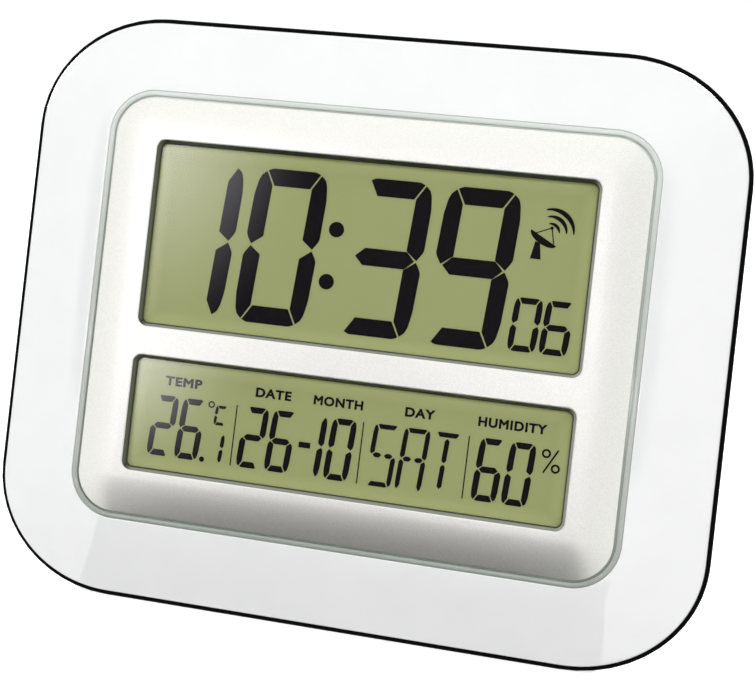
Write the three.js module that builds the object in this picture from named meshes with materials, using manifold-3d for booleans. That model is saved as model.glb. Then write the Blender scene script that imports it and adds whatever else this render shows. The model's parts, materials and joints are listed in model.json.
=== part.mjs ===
// A radio-controlled clock with two segment displays, standing on its fold-out leg.
// Millimetres, +Z up. The face looks towards -Y and leans back, and the origin is on the table
// under the middle of the object. Inside the leaning group, x runs to the right of someone who
// reads the clock, z up the face, and y from the face to the back, with y = 0 at the parting
// plane between the white frame and the black rear cover.

import * as THREE from "three";
import { mergeVertices } from "three/addons/utils/BufferGeometryUtils.js";
import Module from "manifold-3d";

const wasm = await Module();
wasm.setup();

// Stance
const LEAN = THREE.MathUtils.degToRad(15);
const STRIP_DEPTH = 2.8; // depth of the flat that the rear cover stands on

// Clearances
const GAP = 0.3; // between seated faces
const RING_GAP = 0.4; // between the panel's edge and the trim ring
const SWITCH_GAP = 0.3; // left under a button that is pressed right in

// Windows and front panel
const WINDOW_W = 141.4;
const TIME_WINDOW_H = 60;
const CALENDAR_WINDOW_H = 37.2;
const WINDOW_SPACING = 9.3;
const WINDOW_CORNER = 3;
const WINDOW_DRAFT = 1.1; // narrowing of a window through the panel, on each side
const PANEL_SIDE = 15.1;
const PANEL_TOP = 13.5;
const PANEL_BOTTOM = 14.3;
const PANEL_CORNER = 12.5;
const PANEL_WALL = 2;
const PANEL_SKIRT = 2.2; // thickness of the upright edge
const PANEL_EDGE = 2.5; // height of the upright edge
const PANEL_CROWN = 2; // rise of the rolled border
const PANEL_ROLL = 11; // width of the rolled border
const ROLL_STEPS = 6;

// White frame and trim ring
const BAND_SIDE = 29.2;
const BAND_TOP = 26.7;
const BAND_BOTTOM = 28.5;
const CASE_CORNER_X = 41.3;
const CASE_CORNER_Z = 38;
const FRAME_EDGE = 3.4; // from the parting plane to the front of the outer edge
const FRAME_RISE = 3.8; // from there to the crest at the groove
const FRAME_WALL = 2;
const FRAME_ROUND = 1.3; // rounding of the outer edge
const CREST_ROUND = 0.7;
const LEDGE_Y = 4.2; // from the parting plane to the ledge that carries panel and trim ring
const LEDGE_LAP = 2.6; // reach of the ledge under the panel
const RING_W = 1.7;
const RING_H = 2;
const RING_CHAMFER = 0.3;
const BOSS_R = 3.2;
const PILOT_DEPTH = 2.5;

// Displays and their carrier
const LENS_T = 1.2;
const LENS_LAP = 2.5;
const LCD_T = 2.8;
const LCD_LAP = 3.2;
const CARRIER_WALL = 1.2;
const CARRIER_FLOOR = 2.4;
const STRIP_W = 2.2; // elastomer connector strips
const STRIP_INSET = 1.2;
const STRIP_SHORT = 12; // how much shorter than its display a strip is

// Boards and what they carry
const BOARD_T = 1.6;
const POST_R = 2.1;
const BOARD_RIM = 2.6; // board left outside the posts
const POST_FROM_END = 8;
const CHIP_R = 6;
const CHIP_H = 1.5;
const CHIP_X = -50;
const CHIP_Z = 24;
const CRYSTAL_R = 1;
const CRYSTAL_L = 6;
const CRYSTAL_DROP = 12;
const RECEIVER_W = 22;
const RECEIVER_H = 14;
const RECEIVER_T = 1;
const RECEIVER_GAP = 9; // from the end of the antenna to the receiver
const RECEIVER_CHIP = 6;
const RECEIVER_CHIP_T = 1.4;
const ANTENNA_R = 3;
const ANTENNA_L = 60;
const ANTENNA_RISE = 10; // above the lower edge of the board
const COIL_T = 0.9;
const COIL_L = 26;
const CRADLE_W = 5;
const CRADLE_H = 10;
const CRADLE_GAP = 6.5; // from the coil to a cradle
const SENSOR_W = 10;
const SENSOR_H = 6;
const SENSOR_T = 4;
const SENSOR_FROM_SIDE = 19; // middle of the humidity sensor to the edge of the board
const BEAD_R = 1.6;
const BEAD_GAP = 6;
const SWITCH_SIZE = 6;
const SWITCH_H = 3.5;
const PLUNGER_R = 1.7;
const PLUNGER_H = 1;

// Rear cover
const LIP_W = 1.2;
const LIP_H = 1.5;
const FLANGE_T = 2.2;
const COVER_WALL = 2;
const HOUSING_CLEAR = 0.8; // between the antenna's coil and the housing's wall
const HOUSING_MARGIN = 3; // housing's foot outside the panel's outline
const HOUSING_DRAFT = 2;
const EDGE_CHAMFER = 1;
const HUMP_SIDE = 31.2; // hump beside the battery bay
const HUMP_BELOW_TOP = 2; // hump's top below the panel's top edge
const HUMP_FOOT = 2.2; // hump left under the battery door
const HUMP_CORNER = 8;
const KEY_ZONE = 23.4; // hump kept for the hanger, above the battery bay
const KEY_HEAD_R = 5;
const KEY_SLOT_R = 2.3;
const KEY_RISE = 9;
const KEY_BELOW_TOP = 17; // middle of the head hole below the hump's top
const VENT_COUNT = 6;
const VENT_W = 16;
const VENT_H = 1.8;
const VENT_PITCH = 4.5;

// Batteries and door
const CELL_R = 7.25;
const CELL_L = 50.5;
const CELL_NUB_R = 2.75;
const CELL_NUB_H = 1.2;
const CELL_CHAMFER = 0.5;
const CELL_SIDE_GAP = 0.6;
const SPRING_ROOM = 6; // bay length kept for a spring and its plate
const PLATE_T = 0.4;
const PLATE_INSET = 1.5; // plate edge to bay wall
const SPRING_WIRE = 0.35;
const SPRING_R = 4.6;
const SPRING_TIP_R = 3;
const SPRING_TURNS = 3;
const TUB_WALL = 1.5;
const TUB_FLOOR = 1.2;
const TUB_CLEAR = 0.8; // between the main board and the bay's floor
const DOOR_T = 1.8;
const DOOR_LAP = 2.5;
const DOOR_RECESS = 0.4;
const SEAT_T = 1.6;
const GRIP_COUNT = 5; // thumb grooves in the door
const GRIP_W = 1.4;
const GRIP_L = 20;
const GRIP_DEPTH = 0.6;
const GRIP_PITCH = 3;
const GRIP_FROM_END = 8;

// Buttons
const BUTTON_COUNT = 5;
const BUTTON_PITCH = 14;
const BUTTON_R = 3.5;
const BUTTON_PROUD = 1.2;
const BUTTON_CHAMFER = 0.5;
const BUTTON_TRAVEL = 0.6;
const BUTTON_FLANGE_R = 4.6;
const BUTTON_FLANGE_T = 1.2;
const BUTTON_STEM_R = 1.8;
const BUTTON_FROM_SIDE = 7; // axis to the edge of the board
const BUTTON_FROM_TOP = 20;

// Stand
const HINGE_DROP = 10; // below the hump
const HINGE_R = 2.6;
const PIN_R = 1.2;
const HINGE_GAP = 0.4;
const LUG_T = 5;
const LUG_R = 3.5;
const LEG_TILT = THREE.MathUtils.degToRad(20); // open leg from upright
const LEG_W = 64;
const LEG_END_W = 52;
const LEG_T = 4.4;
const LEG_RIM = 6; // border left round the pocket in the leg's back
const LEG_POCKET = 1.8;
const FOOT_T = 2;
const FOOT_RIM = 1;

// Screws
const SCREW_R = 1.3;
const SCREW_TIP_R = 0.8;
const SCREW_TIP_L = 1;
const SCREW_HEAD_R = 2.7;
const SCREW_HEAD_H = 1.8;
const SCREW_CROWN_R = 2; // flat on top of the head
const SCREW_RIM_H = 0.8; // upright rim of the head
const CROSS_L = 2.6; // cross recess: length, width and depth
const CROSS_W = 0.6;
const CROSS_DEPTH = 0.9;
const SCREW_HOLE_R = SCREW_R + GAP;

// Faceting
const CORNER_STEPS = 12;
const SMALL_CORNER_STEPS = 4;
const ROUND_SIDES = 20;
const SCREW_SIDES = 14;
const SPRING_STEPS = 12; // per turn
const SPRING_SIDES = 3; // per half round of the wire
const BEAD_SIDES = 12;
const BEAD_RINGS = 8;

// Overall sizes that follow
const panelW = WINDOW_W + 2 * PANEL_SIDE;
const panelH = PANEL_TOP + TIME_WINDOW_H + WINDOW_SPACING + CALENDAR_WINDOW_H + PANEL_BOTTOM;
const caseW = panelW + 2 * BAND_SIDE;
const caseH = BAND_TOP + panelH + BAND_BOTTOM;
const panelZ = (BAND_BOTTOM - BAND_TOP) / 2;
const timeZ = panelZ + panelH / 2 - PANEL_TOP - TIME_WINDOW_H / 2;
const calendarZ = timeZ - TIME_WINDOW_H / 2 - WINDOW_SPACING - CALENDAR_WINDOW_H / 2;

// Planes from the face to the back
const crestY = -FRAME_EDGE - FRAME_RISE;
const panelBackY = -LEDGE_Y - GAP;
const panelEdgeY = panelBackY - PANEL_EDGE;
const panelFrontY = panelEdgeY - PANEL_CROWN;
const panelUnderY = panelFrontY + PANEL_WALL;
const lensFrontY = panelUnderY + GAP;
const lcdFrontY = lensFrontY + LENS_T + GAP;
const carrierFloorY = lcdFrontY + LCD_T + GAP;
const boardFrontY = carrierFloorY + CARRIER_FLOOR + GAP;
const boardBackY = boardFrontY + BOARD_T;
const onBoardY = boardBackY + GAP;
const antennaY = onBoardY + GAP + ANTENNA_R + GAP + COIL_T;
const housingInnerY = antennaY + ANTENNA_R + GAP + COIL_T + HOUSING_CLEAR;
const housingBackY = housingInnerY + COVER_WALL;
const bayFloorY = boardBackY + TUB_CLEAR + TUB_FLOOR;
const cellY = bayFloorY + GAP + CELL_R;
const doorInnerY = cellY + CELL_R + GAP;
const seatY = doorInnerY - GAP;
const humpBackY = doorInnerY + DOOR_T + DOOR_RECESS;

// Lines across the face
const lcdHalfW = WINDOW_W / 2 + LCD_LAP;
const carrierHalfW = lcdHalfW + GAP + CARRIER_WALL;
const boardTopZ = timeZ + TIME_WINDOW_H / 2 + LCD_LAP + GAP + CARRIER_WALL;
const boardBottomZ = calendarZ - CALENDAR_WINDOW_H / 2 - LCD_LAP - GAP - CARRIER_WALL;
const postX = carrierHalfW + GAP + POST_R;
const boardHalfW = postX + BOARD_RIM;
const bayW = CELL_L + SPRING_ROOM + GAP + PLATE_T + GAP;
const bayH = 4 * CELL_R + 3 * CELL_SIDE_GAP;
const doorHalfH = bayH / 2 + DOOR_LAP;
const doorLeftX = -bayW / 2 - DOOR_LAP;
const humpHalfW = bayW / 2 + HUMP_SIDE;
const humpTopZ = panelZ + panelH / 2 - HUMP_BELOW_TOP;
const bayZ = humpTopZ - KEY_ZONE - COVER_WALL - GAP - doorHalfH;
const humpBottomZ = bayZ - doorHalfH - GAP - HUMP_FOOT;
const doorRightX = humpHalfW - EDGE_CHAMFER;
const antennaZ = boardBottomZ + ANTENNA_RISE;
const buttonX = boardHalfW - BUTTON_FROM_SIDE;
const sensorX = SENSOR_FROM_SIDE - boardHalfW;
const cradleX = COIL_L / 2 + CRADLE_GAP + CRADLE_W / 2;
const hingeY = housingBackY + HINGE_R + HINGE_GAP;
const hingeZ = humpBottomZ - HINGE_DROP;

// The table, as a plane square to the upright direction of the leaning clock
const stripY = FLANGE_T - STRIP_DEPTH;
const tableHeight = -(caseH / 2) * Math.cos(LEAN) - stripY * Math.sin(LEAN);
const hingeHeight = hingeZ * Math.cos(LEAN) - hingeY * Math.sin(LEAN) - tableHeight;
const legL = (hingeHeight - GAP - FOOT_T) / Math.cos(LEG_TILT);
const legOpen = LEAN + LEG_TILT;
const legHeel = (HINGE_R + HINGE_GAP - GAP - (LEG_T / 2) * Math.cos(legOpen)) / Math.sin(legOpen);

function finish(color, roughness, metalness = 0) {
  return new THREE.MeshStandardMaterial({ color, roughness, metalness });
}

const whiteGloss = finish(0xf4f5f4, 0.12);
const silverPaint = finish(0xd9dad7, 0.38, 0.5);
const clearPlastic = finish(0xdfe8e0, 0.05);
const trimPlastic = finish(0xb7c5c0, 0.2);
const displayGreen = finish(0x9aa071, 0.25);
const blackPlastic = finish(0x1c1c1e, 0.55);
const greyPlastic = finish(0x8d9092, 0.6);
const boardGreen = finish(0x1f5b3a, 0.5);
const steel = finish(0xb9bcc0, 0.3, 1);
const copper = finish(0xb06a3a, 0.35, 1);
const ferrite = finish(0x3a3a3d, 0.7, 0.2);
const rubber = finish(0x2a2a2b, 0.9);
const whitePlastic = finish(0xe6e6e2, 0.5);
const cellWrap = finish(0x3d5a78, 0.3, 0.3);

// Outlines are loops of points, anticlockwise as someone who reads the clock sees them.
function roundedLoop(halfW, halfH, radiusX, radiusZ, centreZ, steps) {
  const loop = [];
  for (let corner = 0; corner < 4; corner++) {
    const signX = corner === 0 || corner === 3 ? 1 : -1;
    const signZ = corner < 2 ? 1 : -1;
    for (let step = 0; step <= steps; step++) {
      const angle = ((corner + step / steps) * Math.PI) / 2;
      loop.push([
        signX * (halfW - radiusX) + radiusX * Math.cos(angle),
        centreZ + signZ * (halfH - radiusZ) + radiusZ * Math.sin(angle),
      ]);
    }
  }
  return loop;
}

function caseLoop(inset, steps = CORNER_STEPS) {
  const radiusX = CASE_CORNER_X - inset;
  const radiusZ = CASE_CORNER_Z - inset;
  return roundedLoop(caseW / 2 - inset, caseH / 2 - inset, radiusX, radiusZ, 0, steps);
}

function panelLoop(outset, steps = CORNER_STEPS) {
  const radius = PANEL_CORNER + outset;
  return roundedLoop(panelW / 2 + outset, panelH / 2 + outset, radius, radius, panelZ, steps);
}

function humpLoop(inset) {
  const radius = HUMP_CORNER - inset;
  const halfH = (humpTopZ - humpBottomZ) / 2 - inset;
  const middle = (humpTopZ + humpBottomZ) / 2;
  return roundedLoop(humpHalfW - inset, halfH, radius, radius, middle, SMALL_CORNER_STEPS);
}

// The hump's outline as a straight column
function humpColumn(inset, y0, y1) {
  return loft([
    [humpLoop(inset), y0],
    [humpLoop(inset), y1],
  ]);
}

function windowLoop(height, middle, outset) {
  const radius = WINDOW_CORNER + outset;
  const steps = SMALL_CORNER_STEPS;
  return roundedLoop(WINDOW_W / 2 + outset, height / 2 + outset, radius, radius, middle, steps);
}

function geometryFrom(positions, indices) {
  const geometry = new THREE.BufferGeometry();
  geometry.setAttribute("position", new THREE.Float32BufferAttribute(positions, 3));
  geometry.setIndex(indices);
  return geometry;
}

// Walls between rings of [loop, y] that run from the front to the back on the outside.
function ringWalls(rings, closed) {
  const count = rings[0][0].length;
  const indices = [];
  const last = closed ? rings.length : rings.length - 1;
  for (let ring = 0; ring < last; ring++) {
    const near = ring * count;
    const far = ((ring + 1) % rings.length) * count;
    for (let i = 0; i < count; i++) {
      const j = (i + 1) % count;
      indices.push(near + i, far + i, near + j);
      indices.push(near + j, far + i, far + j);
    }
  }
  return indices;
}

function ringPositions(rings) {
  return rings.flatMap(([loop, y]) => loop.flatMap(([x, z]) => [x, y, z]));
}

// A solid through the rings, closed by a flat face at each end.
function loft(rings) {
  const count = rings[0][0].length;
  const positions = ringPositions(rings);
  const indices = ringWalls(rings, false);
  const ends = [0, rings.length - 1];
  for (const ring of ends) {
    const [loop, y] = rings[ring];
    const hub = positions.length / 3;
    const middleX = loop.reduce((sum, point) => sum + point[0], 0) / count;
    const middleZ = loop.reduce((sum, point) => sum + point[1], 0) / count;
    positions.push(middleX, y, middleZ);
    for (let i = 0; i < count; i++) {
      const here = ring * count + i;
      const next = ring * count + ((i + 1) % count);
      if (ring === 0) indices.push(hub, here, next);
      else indices.push(hub, next, here);
    }
  }
  return geometryFrom(positions, indices);
}

// A solid whose section is a closed loop of rings, such as a frame.
function ringSolid(rings) {
  return geometryFrom(ringPositions(rings), ringWalls(rings, true));
}

function box(x0, x1, y0, y1, z0, z1) {
  const geometry = new THREE.BoxGeometry(x1 - x0, y1 - y0, z1 - z0);
  return geometry.translate((x0 + x1) / 2, (y0 + y1) / 2, (z0 + z1) / 2);
}

// A round bar along y.
function barY(radius, x, z, y0, y1, sides = ROUND_SIDES) {
  const geometry = new THREE.CylinderGeometry(radius, radius, y1 - y0, sides);
  return geometry.translate(x, (y0 + y1) / 2, z);
}

// A round bar along x.
function barX(radius, x0, x1, y, z, sides = ROUND_SIDES) {
  const geometry = new THREE.CylinderGeometry(radius, radius, x1 - x0, sides);
  return geometry.rotateZ(Math.PI / 2).translate((x0 + x1) / 2, y, z);
}

// A turned piece round the y axis from [radius, y] points.
function turned(profile, sides = ROUND_SIDES) {
  const points = profile.map(([radius, y]) => new THREE.Vector2(radius, y));
  return new THREE.LatheGeometry(points, sides);
}

function solid(geometry) {
  const bare = new THREE.BufferGeometry();
  bare.setAttribute("position", geometry.getAttribute("position"));
  bare.setIndex(geometry.getIndex());
  const merged = mergeVertices(bare);
  const vertProperties = new Float32Array(merged.getAttribute("position").array);
  const triVerts = new Uint32Array(merged.getIndex().array);
  return new wasm.Manifold(new wasm.Mesh({ numProp: 3, vertProperties, triVerts }));
}

function join(base, additions) {
  return additions.reduce((sum, geometry) => sum.add(solid(geometry)), base);
}

function cut(base, tools) {
  return tools.reduce((rest, geometry) => rest.subtract(solid(geometry)), base);
}

function common(first, second) {
  return solid(first).intersect(solid(second));
}

function geometryOf(body) {
  const mesh = body.getMesh();
  return geometryFrom(Array.from(mesh.vertProperties), Array.from(mesh.triVerts));
}

const clock = new THREE.Group();
clock.name = "radio_controlled_clock";
const leaning = new THREE.Group();
leaning.rotation.x = -LEAN;
clock.add(leaning);

function piece(name, geometry, material, parent = leaning) {
  const mesh = new THREE.Mesh(geometry, material);
  mesh.name = name;
  parent.add(mesh);
  return mesh;
}

// Where the case screws go: the four corners, and the middle of the top and bottom bands
function screwPlaces() {
  const outer = caseLoop(0, 2);
  const inner = panelLoop(0, 2);
  const cornerMiddles = [1, 4, 7, 10]; // of loops with two steps in each corner
  const places = cornerMiddles.map((i) => {
    return [(outer[i][0] + inner[i][0]) / 2, (outer[i][1] + inner[i][1]) / 2];
  });
  places.push([0, panelZ + panelH / 2 + BAND_TOP / 2]);
  places.push([0, panelZ - panelH / 2 - BAND_BOTTOM / 2]);
  return places;
}

const casePlaces = screwPlaces();
const boardPlaces = [1, -1].flatMap((side) => [
  [side * postX, boardTopZ - POST_FROM_END],
  [side * postX, boardBottomZ + POST_FROM_END],
]);

// White frame: a sloped shell with an outer skirt, and a ledge under the groove
function makeFrame() {
  const skirt = LIP_W + GAP;
  const groove = RING_GAP + RING_W + GAP;
  const under = groove + FRAME_WALL;
  const roundMiddle = FRAME_ROUND * (1 - Math.SQRT1_2);
  const rings = [
    [caseLoop(skirt), -FRAME_EDGE + FRAME_ROUND],
    [caseLoop(skirt), -GAP],
    [caseLoop(skirt + FRAME_WALL), -GAP],
    [caseLoop(skirt + FRAME_WALL), -FRAME_EDGE + FRAME_WALL],
    [panelLoop(under), crestY + FRAME_WALL],
    [panelLoop(under), -LEDGE_Y + FRAME_WALL],
    [panelLoop(-LEDGE_LAP), -LEDGE_Y + FRAME_WALL],
    [panelLoop(-LEDGE_LAP), -LEDGE_Y],
    [panelLoop(groove), -LEDGE_Y],
    [panelLoop(groove), crestY + CREST_ROUND],
    [panelLoop(groove + CREST_ROUND), crestY],
    [caseLoop(skirt + FRAME_ROUND), -FRAME_EDGE],
    [caseLoop(skirt + roundMiddle), -FRAME_EDGE + roundMiddle],
  ];
  const bossTopY = (-FRAME_EDGE + crestY) / 2 + FRAME_WALL / 2;
  const bosses = casePlaces.map(([x, z]) => barY(BOSS_R, x, z, bossTopY, -GAP));
  const pilots = casePlaces.map(([x, z]) => barY(SCREW_HOLE_R, x, z, -GAP - PILOT_DEPTH, 0));
  return cut(join(solid(ringSolid(rings)), bosses), pilots);
}

function makeTrimRing() {
  const inner = RING_GAP;
  const outer = RING_GAP + RING_W;
  const backY = -LEDGE_Y - GAP;
  const frontY = backY - RING_H;
  return ringSolid([
    [panelLoop(outer), frontY + RING_CHAMFER],
    [panelLoop(outer), backY],
    [panelLoop(inner), backY],
    [panelLoop(inner), frontY + RING_CHAMFER],
    [panelLoop(inner + RING_CHAMFER), frontY],
    [panelLoop(outer - RING_CHAMFER), frontY],
  ]);
}

function makePanel() {
  const rings = [];
  for (let step = 0; step <= ROLL_STEPS; step++) {
    const angle = ((1 - step / ROLL_STEPS) * Math.PI) / 2;
    const inset = PANEL_ROLL * (1 - Math.cos(angle));
    rings.push([panelLoop(-inset), panelEdgeY - PANEL_CROWN * Math.sin(angle)]);
  }
  rings.push([panelLoop(0), panelBackY]);
  const hollow = loft([
    [panelLoop(-PANEL_SKIRT), panelUnderY],
    [panelLoop(-PANEL_SKIRT), panelBackY + PANEL_WALL],
  ]);
  const posts = boardPlaces.map(([x, z]) => {
    return barY(POST_R, x, z, panelUnderY - PANEL_WALL / 2, boardFrontY - GAP);
  });
  const slope = WINDOW_DRAFT / PANEL_WALL;
  const windows = [
    [TIME_WINDOW_H, timeZ],
    [CALENDAR_WINDOW_H, calendarZ],
  ].map(([height, middle]) => {
    return loft([
      [windowLoop(height, middle, slope * PANEL_CROWN), panelFrontY - PANEL_CROWN],
      [windowLoop(height, middle, -WINDOW_DRAFT), panelUnderY],
      [windowLoop(height, middle, -WINDOW_DRAFT), panelUnderY + PANEL_WALL],
    ]);
  });
  const pilots = boardPlaces.map(([x, z]) => {
    return barY(SCREW_HOLE_R, x, z, boardFrontY - 2 * GAP - PILOT_DEPTH, boardFrontY);
  });
  const shell = join(cut(solid(loft(rings)), [hollow]), posts);
  return cut(shell, [...windows, ...pilots]);
}

function makeLens(height, middle) {
  return loft([
    [windowLoop(height, middle, LENS_LAP), lensFrontY],
    [windowLoop(height, middle, LENS_LAP), lensFrontY + LENS_T],
  ]);
}

function lcdBox(height, middle, outset, y0, y1) {
  const halfW = lcdHalfW + outset;
  const halfH = height / 2 + LCD_LAP + outset;
  return box(-halfW, halfW, y0, y1, middle - halfH, middle + halfH);
}

// Slot or strip along the lower edge of a display
function stripBox(height, middle, outset, y0, y1) {
  const halfW = lcdHalfW - STRIP_SHORT / 2 + outset;
  const low = middle - height / 2 - LCD_LAP + STRIP_INSET;
  return box(-halfW, halfW, y0, y1, low - outset, low + STRIP_W + outset);
}

function makeCarrier() {
  const frontY = panelUnderY + GAP;
  const backY = carrierFloorY + CARRIER_FLOOR;
  const tray = box(-carrierHalfW, carrierHalfW, frontY, backY, boardBottomZ, boardTopZ);
  const tools = [
    [TIME_WINDOW_H, timeZ],
    [CALENDAR_WINDOW_H, calendarZ],
  ].flatMap(([height, middle]) => [
    lcdBox(height, middle, GAP, frontY - GAP, carrierFloorY),
    stripBox(height, middle, GAP, carrierFloorY - GAP, backY + GAP),
  ]);
  return cut(solid(tray), tools);
}

function makeBoard() {
  const plate = box(-boardHalfW, boardHalfW, boardFrontY, boardBackY, boardBottomZ, boardTopZ);
  const holes = boardPlaces.map(([x, z]) => {
    return barY(SCREW_HOLE_R, x, z, boardFrontY - GAP, boardBackY + GAP);
  });
  return cut(solid(plate), holes);
}

// Pan-head screw along y whose head's underside is at headY and whose tip is at tipY
function screw(x, z, headY, tipY) {
  const topY = headY + SCREW_HEAD_H;
  const profile = [
    [0, tipY],
    [SCREW_TIP_R, tipY],
    [SCREW_R, tipY + SCREW_TIP_L],
    [SCREW_R, headY],
    [SCREW_HEAD_R, headY],
    [SCREW_HEAD_R, headY + SCREW_RIM_H],
    [SCREW_CROWN_R, topY],
    [0, topY],
  ];
  const long = CROSS_L / 2;
  const wide = CROSS_W / 2;
  const floorY = topY - CROSS_DEPTH;
  return cut(solid(turned(profile, SCREW_SIDES).translate(x, 0, z)), [
    box(x - long, x + long, floorY, topY + GAP, z - wide, z + wide),
    box(x - wide, x + wide, floorY, topY + GAP, z - long, z + long),
  ]);
}

// Rear cover: flange with its lip, housing, hump, battery bay, hinge lugs and all openings
function makeCover() {
  const inner = COVER_WALL;
  const body = join(
    solid(
      loft([
        [caseLoop(0), -LIP_H],
        [caseLoop(0), FLANGE_T],
      ]),
    ),
    [
      loft([
        [panelLoop(HOUSING_MARGIN), 0],
        [panelLoop(HOUSING_MARGIN - HOUSING_DRAFT), housingBackY - EDGE_CHAMFER],
        [panelLoop(HOUSING_MARGIN - HOUSING_DRAFT - EDGE_CHAMFER), housingBackY],
      ]),
      loft([
        [humpLoop(0), housingInnerY],
        [humpLoop(0), humpBackY - EDGE_CHAMFER],
        [humpLoop(EDGE_CHAMFER), humpBackY],
      ]),
    ],
  );
  const hollowed = cut(body, [
    loft([
      [caseLoop(LIP_W), -LIP_H - GAP],
      [caseLoop(LIP_W), 0],
    ]),
    loft([
      [panelLoop(HOUSING_MARGIN - inner), -GAP],
      [panelLoop(HOUSING_MARGIN - HOUSING_DRAFT - inner), housingInnerY],
    ]),
    humpColumn(inner, housingInnerY - GAP, humpBackY - inner),
  ]);
  return cut(join(hollowed, [...bayWalls(), ...lugs()]), [
    ...bayOpenings(),
    ...hanger(),
    ...vents(),
    ...buttonHoles(),
    ...casePlaces.map(([x, z]) => barY(SCREW_HOLE_R, x, z, -GAP, FLANGE_T + GAP)),
    barX(PIN_R + GAP, -lugOuterX() - GAP, lugOuterX() + GAP, hingeY, hingeZ),
    belowTable(),
  ]);
}

// Walls of the battery bay, and the thick plate that the door's recess is cut in
function bayWalls() {
  const halfW = bayW / 2 + TUB_WALL;
  const halfH = bayH / 2 + TUB_WALL;
  const seatHalfH = doorHalfH + GAP + COVER_WALL;
  const seatLeftX = doorLeftX - GAP - COVER_WALL;
  const frontY = seatY - SEAT_T;
  const backY = humpBackY - EDGE_CHAMFER;
  const seat = box(seatLeftX, doorRightX, frontY, backY, bayZ - seatHalfH, bayZ + seatHalfH);
  return [
    box(-halfW, halfW, bayFloorY - TUB_FLOOR, seatY, bayZ - halfH, bayZ + halfH),
    geometryOf(common(seat, humpColumn(0, frontY, backY))),
  ];
}

function bayOpenings() {
  const halfH = doorHalfH + GAP;
  const past = humpBackY + GAP;
  return [
    box(-bayW / 2, bayW / 2, bayFloorY, past, bayZ - bayH / 2, bayZ + bayH / 2),
    box(doorLeftX - GAP, humpHalfW + GAP, seatY, past, bayZ - halfH, bayZ + halfH),
  ];
}

function hanger() {
  const z = humpTopZ - KEY_BELOW_TOP;
  const y0 = humpBackY - COVER_WALL - GAP;
  const y1 = humpBackY + GAP;
  return [
    barY(KEY_HEAD_R, 0, z, y0, y1),
    box(-KEY_SLOT_R, KEY_SLOT_R, y0, y1, z, z + KEY_RISE),
    barY(KEY_SLOT_R, 0, z + KEY_RISE, y0, y1),
  ];
}

function vents() {
  const y0 = housingInnerY - GAP;
  const y1 = housingBackY + GAP;
  return Array.from({ length: VENT_COUNT }, (_, i) => {
    const z = antennaZ + i * VENT_PITCH;
    return box(sensorX - VENT_W / 2, sensorX + VENT_W / 2, y0, y1, z, z + VENT_H);
  });
}

function buttonPlaces() {
  return Array.from({ length: BUTTON_COUNT }, (_, i) => {
    return boardTopZ - BUTTON_FROM_TOP - i * BUTTON_PITCH;
  });
}

function buttonHoles() {
  return buttonPlaces().map((z) => {
    return barY(BUTTON_R + GAP, buttonX, z, housingInnerY - GAP, housingBackY + GAP);
  });
}

function lugOuterX() {
  return LEG_W / 2 + HINGE_GAP + LUG_T;
}

function lugs() {
  return [-1, 1].flatMap((side) => {
    const [x0, x1] = [side * (LEG_W / 2 + HINGE_GAP), side * lugOuterX()].sort((a, b) => a - b);
    return [
      box(x0, x1, housingInnerY + GAP, hingeY, hingeZ - LUG_R, hingeZ + LUG_R),
      barX(LUG_R, x0, x1, hingeY, hingeZ),
    ];
  });
}

// Everything under the table, in the clock's own leaning axes
function belowTable() {
  const size = caseW * 2;
  const block = new THREE.BoxGeometry(size, size, size).translate(0, 0, -size / 2);
  return block.rotateX(LEAN).translate(0, stripY, -caseH / 2);
}

// Sliding door with thumb grooves near its free end
function makeDoor() {
  const topY = doorInnerY + DOOR_T;
  const plate = box(doorLeftX, doorRightX, doorInnerY, topY, bayZ - doorHalfH, bayZ + doorHalfH);
  const grooves = Array.from({ length: GRIP_COUNT }, (_, i) => {
    const x = doorRightX - GRIP_FROM_END - i * GRIP_PITCH;
    return box(x, x + GRIP_W, topY - GRIP_DEPTH, topY + GAP, bayZ - GRIP_L / 2, bayZ + GRIP_L / 2);
  });
  return cut(common(plate, humpColumn(EDGE_CHAMFER, doorInnerY, topY)), grooves);
}

function makeButton(z) {
  const flangeY = housingInnerY - GAP - BUTTON_FLANGE_T;
  const stemY = onBoardY + SWITCH_H + PLUNGER_H + SWITCH_GAP + BUTTON_TRAVEL;
  const topY = housingBackY + BUTTON_PROUD;
  const profile = [
    [0, stemY],
    [BUTTON_STEM_R, stemY],
    [BUTTON_STEM_R, flangeY],
    [BUTTON_FLANGE_R, flangeY],
    [BUTTON_FLANGE_R, flangeY + BUTTON_FLANGE_T],
    [BUTTON_R, flangeY + BUTTON_FLANGE_T],
    [BUTTON_R, topY - BUTTON_CHAMFER],
    [BUTTON_R - BUTTON_CHAMFER, topY],
    [0, topY],
  ];
  return turned(profile).translate(buttonX, 0, z);
}

function makeSwitch(z) {
  const half = SWITCH_SIZE / 2;
  const top = onBoardY + SWITCH_H;
  const body = solid(box(buttonX - half, buttonX + half, onBoardY, top, z - half, z + half));
  return join(body, [barY(PLUNGER_R, buttonX, z, top - GAP, top + PLUNGER_H)]);
}

// Where the flat end of a cell is, on the side given: -1 left, 1 right
function flatEndX(side) {
  return side * (bayW / 2 - SPRING_ROOM);
}

// A cell along x with its flat end on the side given
function makeCell(flatSide, z) {
  const profile = [
    [0, 0],
    [CELL_R - CELL_CHAMFER, 0],
    [CELL_R, CELL_CHAMFER],
    [CELL_R, CELL_L - CELL_NUB_H - CELL_CHAMFER],
    [CELL_R - CELL_CHAMFER, CELL_L - CELL_NUB_H],
    [CELL_NUB_R, CELL_L - CELL_NUB_H],
    [CELL_NUB_R, CELL_L],
    [0, CELL_L],
  ];
  const lying = turned(profile).rotateZ((flatSide * Math.PI) / 2);
  return lying.translate(flatEndX(flatSide), cellY, z);
}

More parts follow.
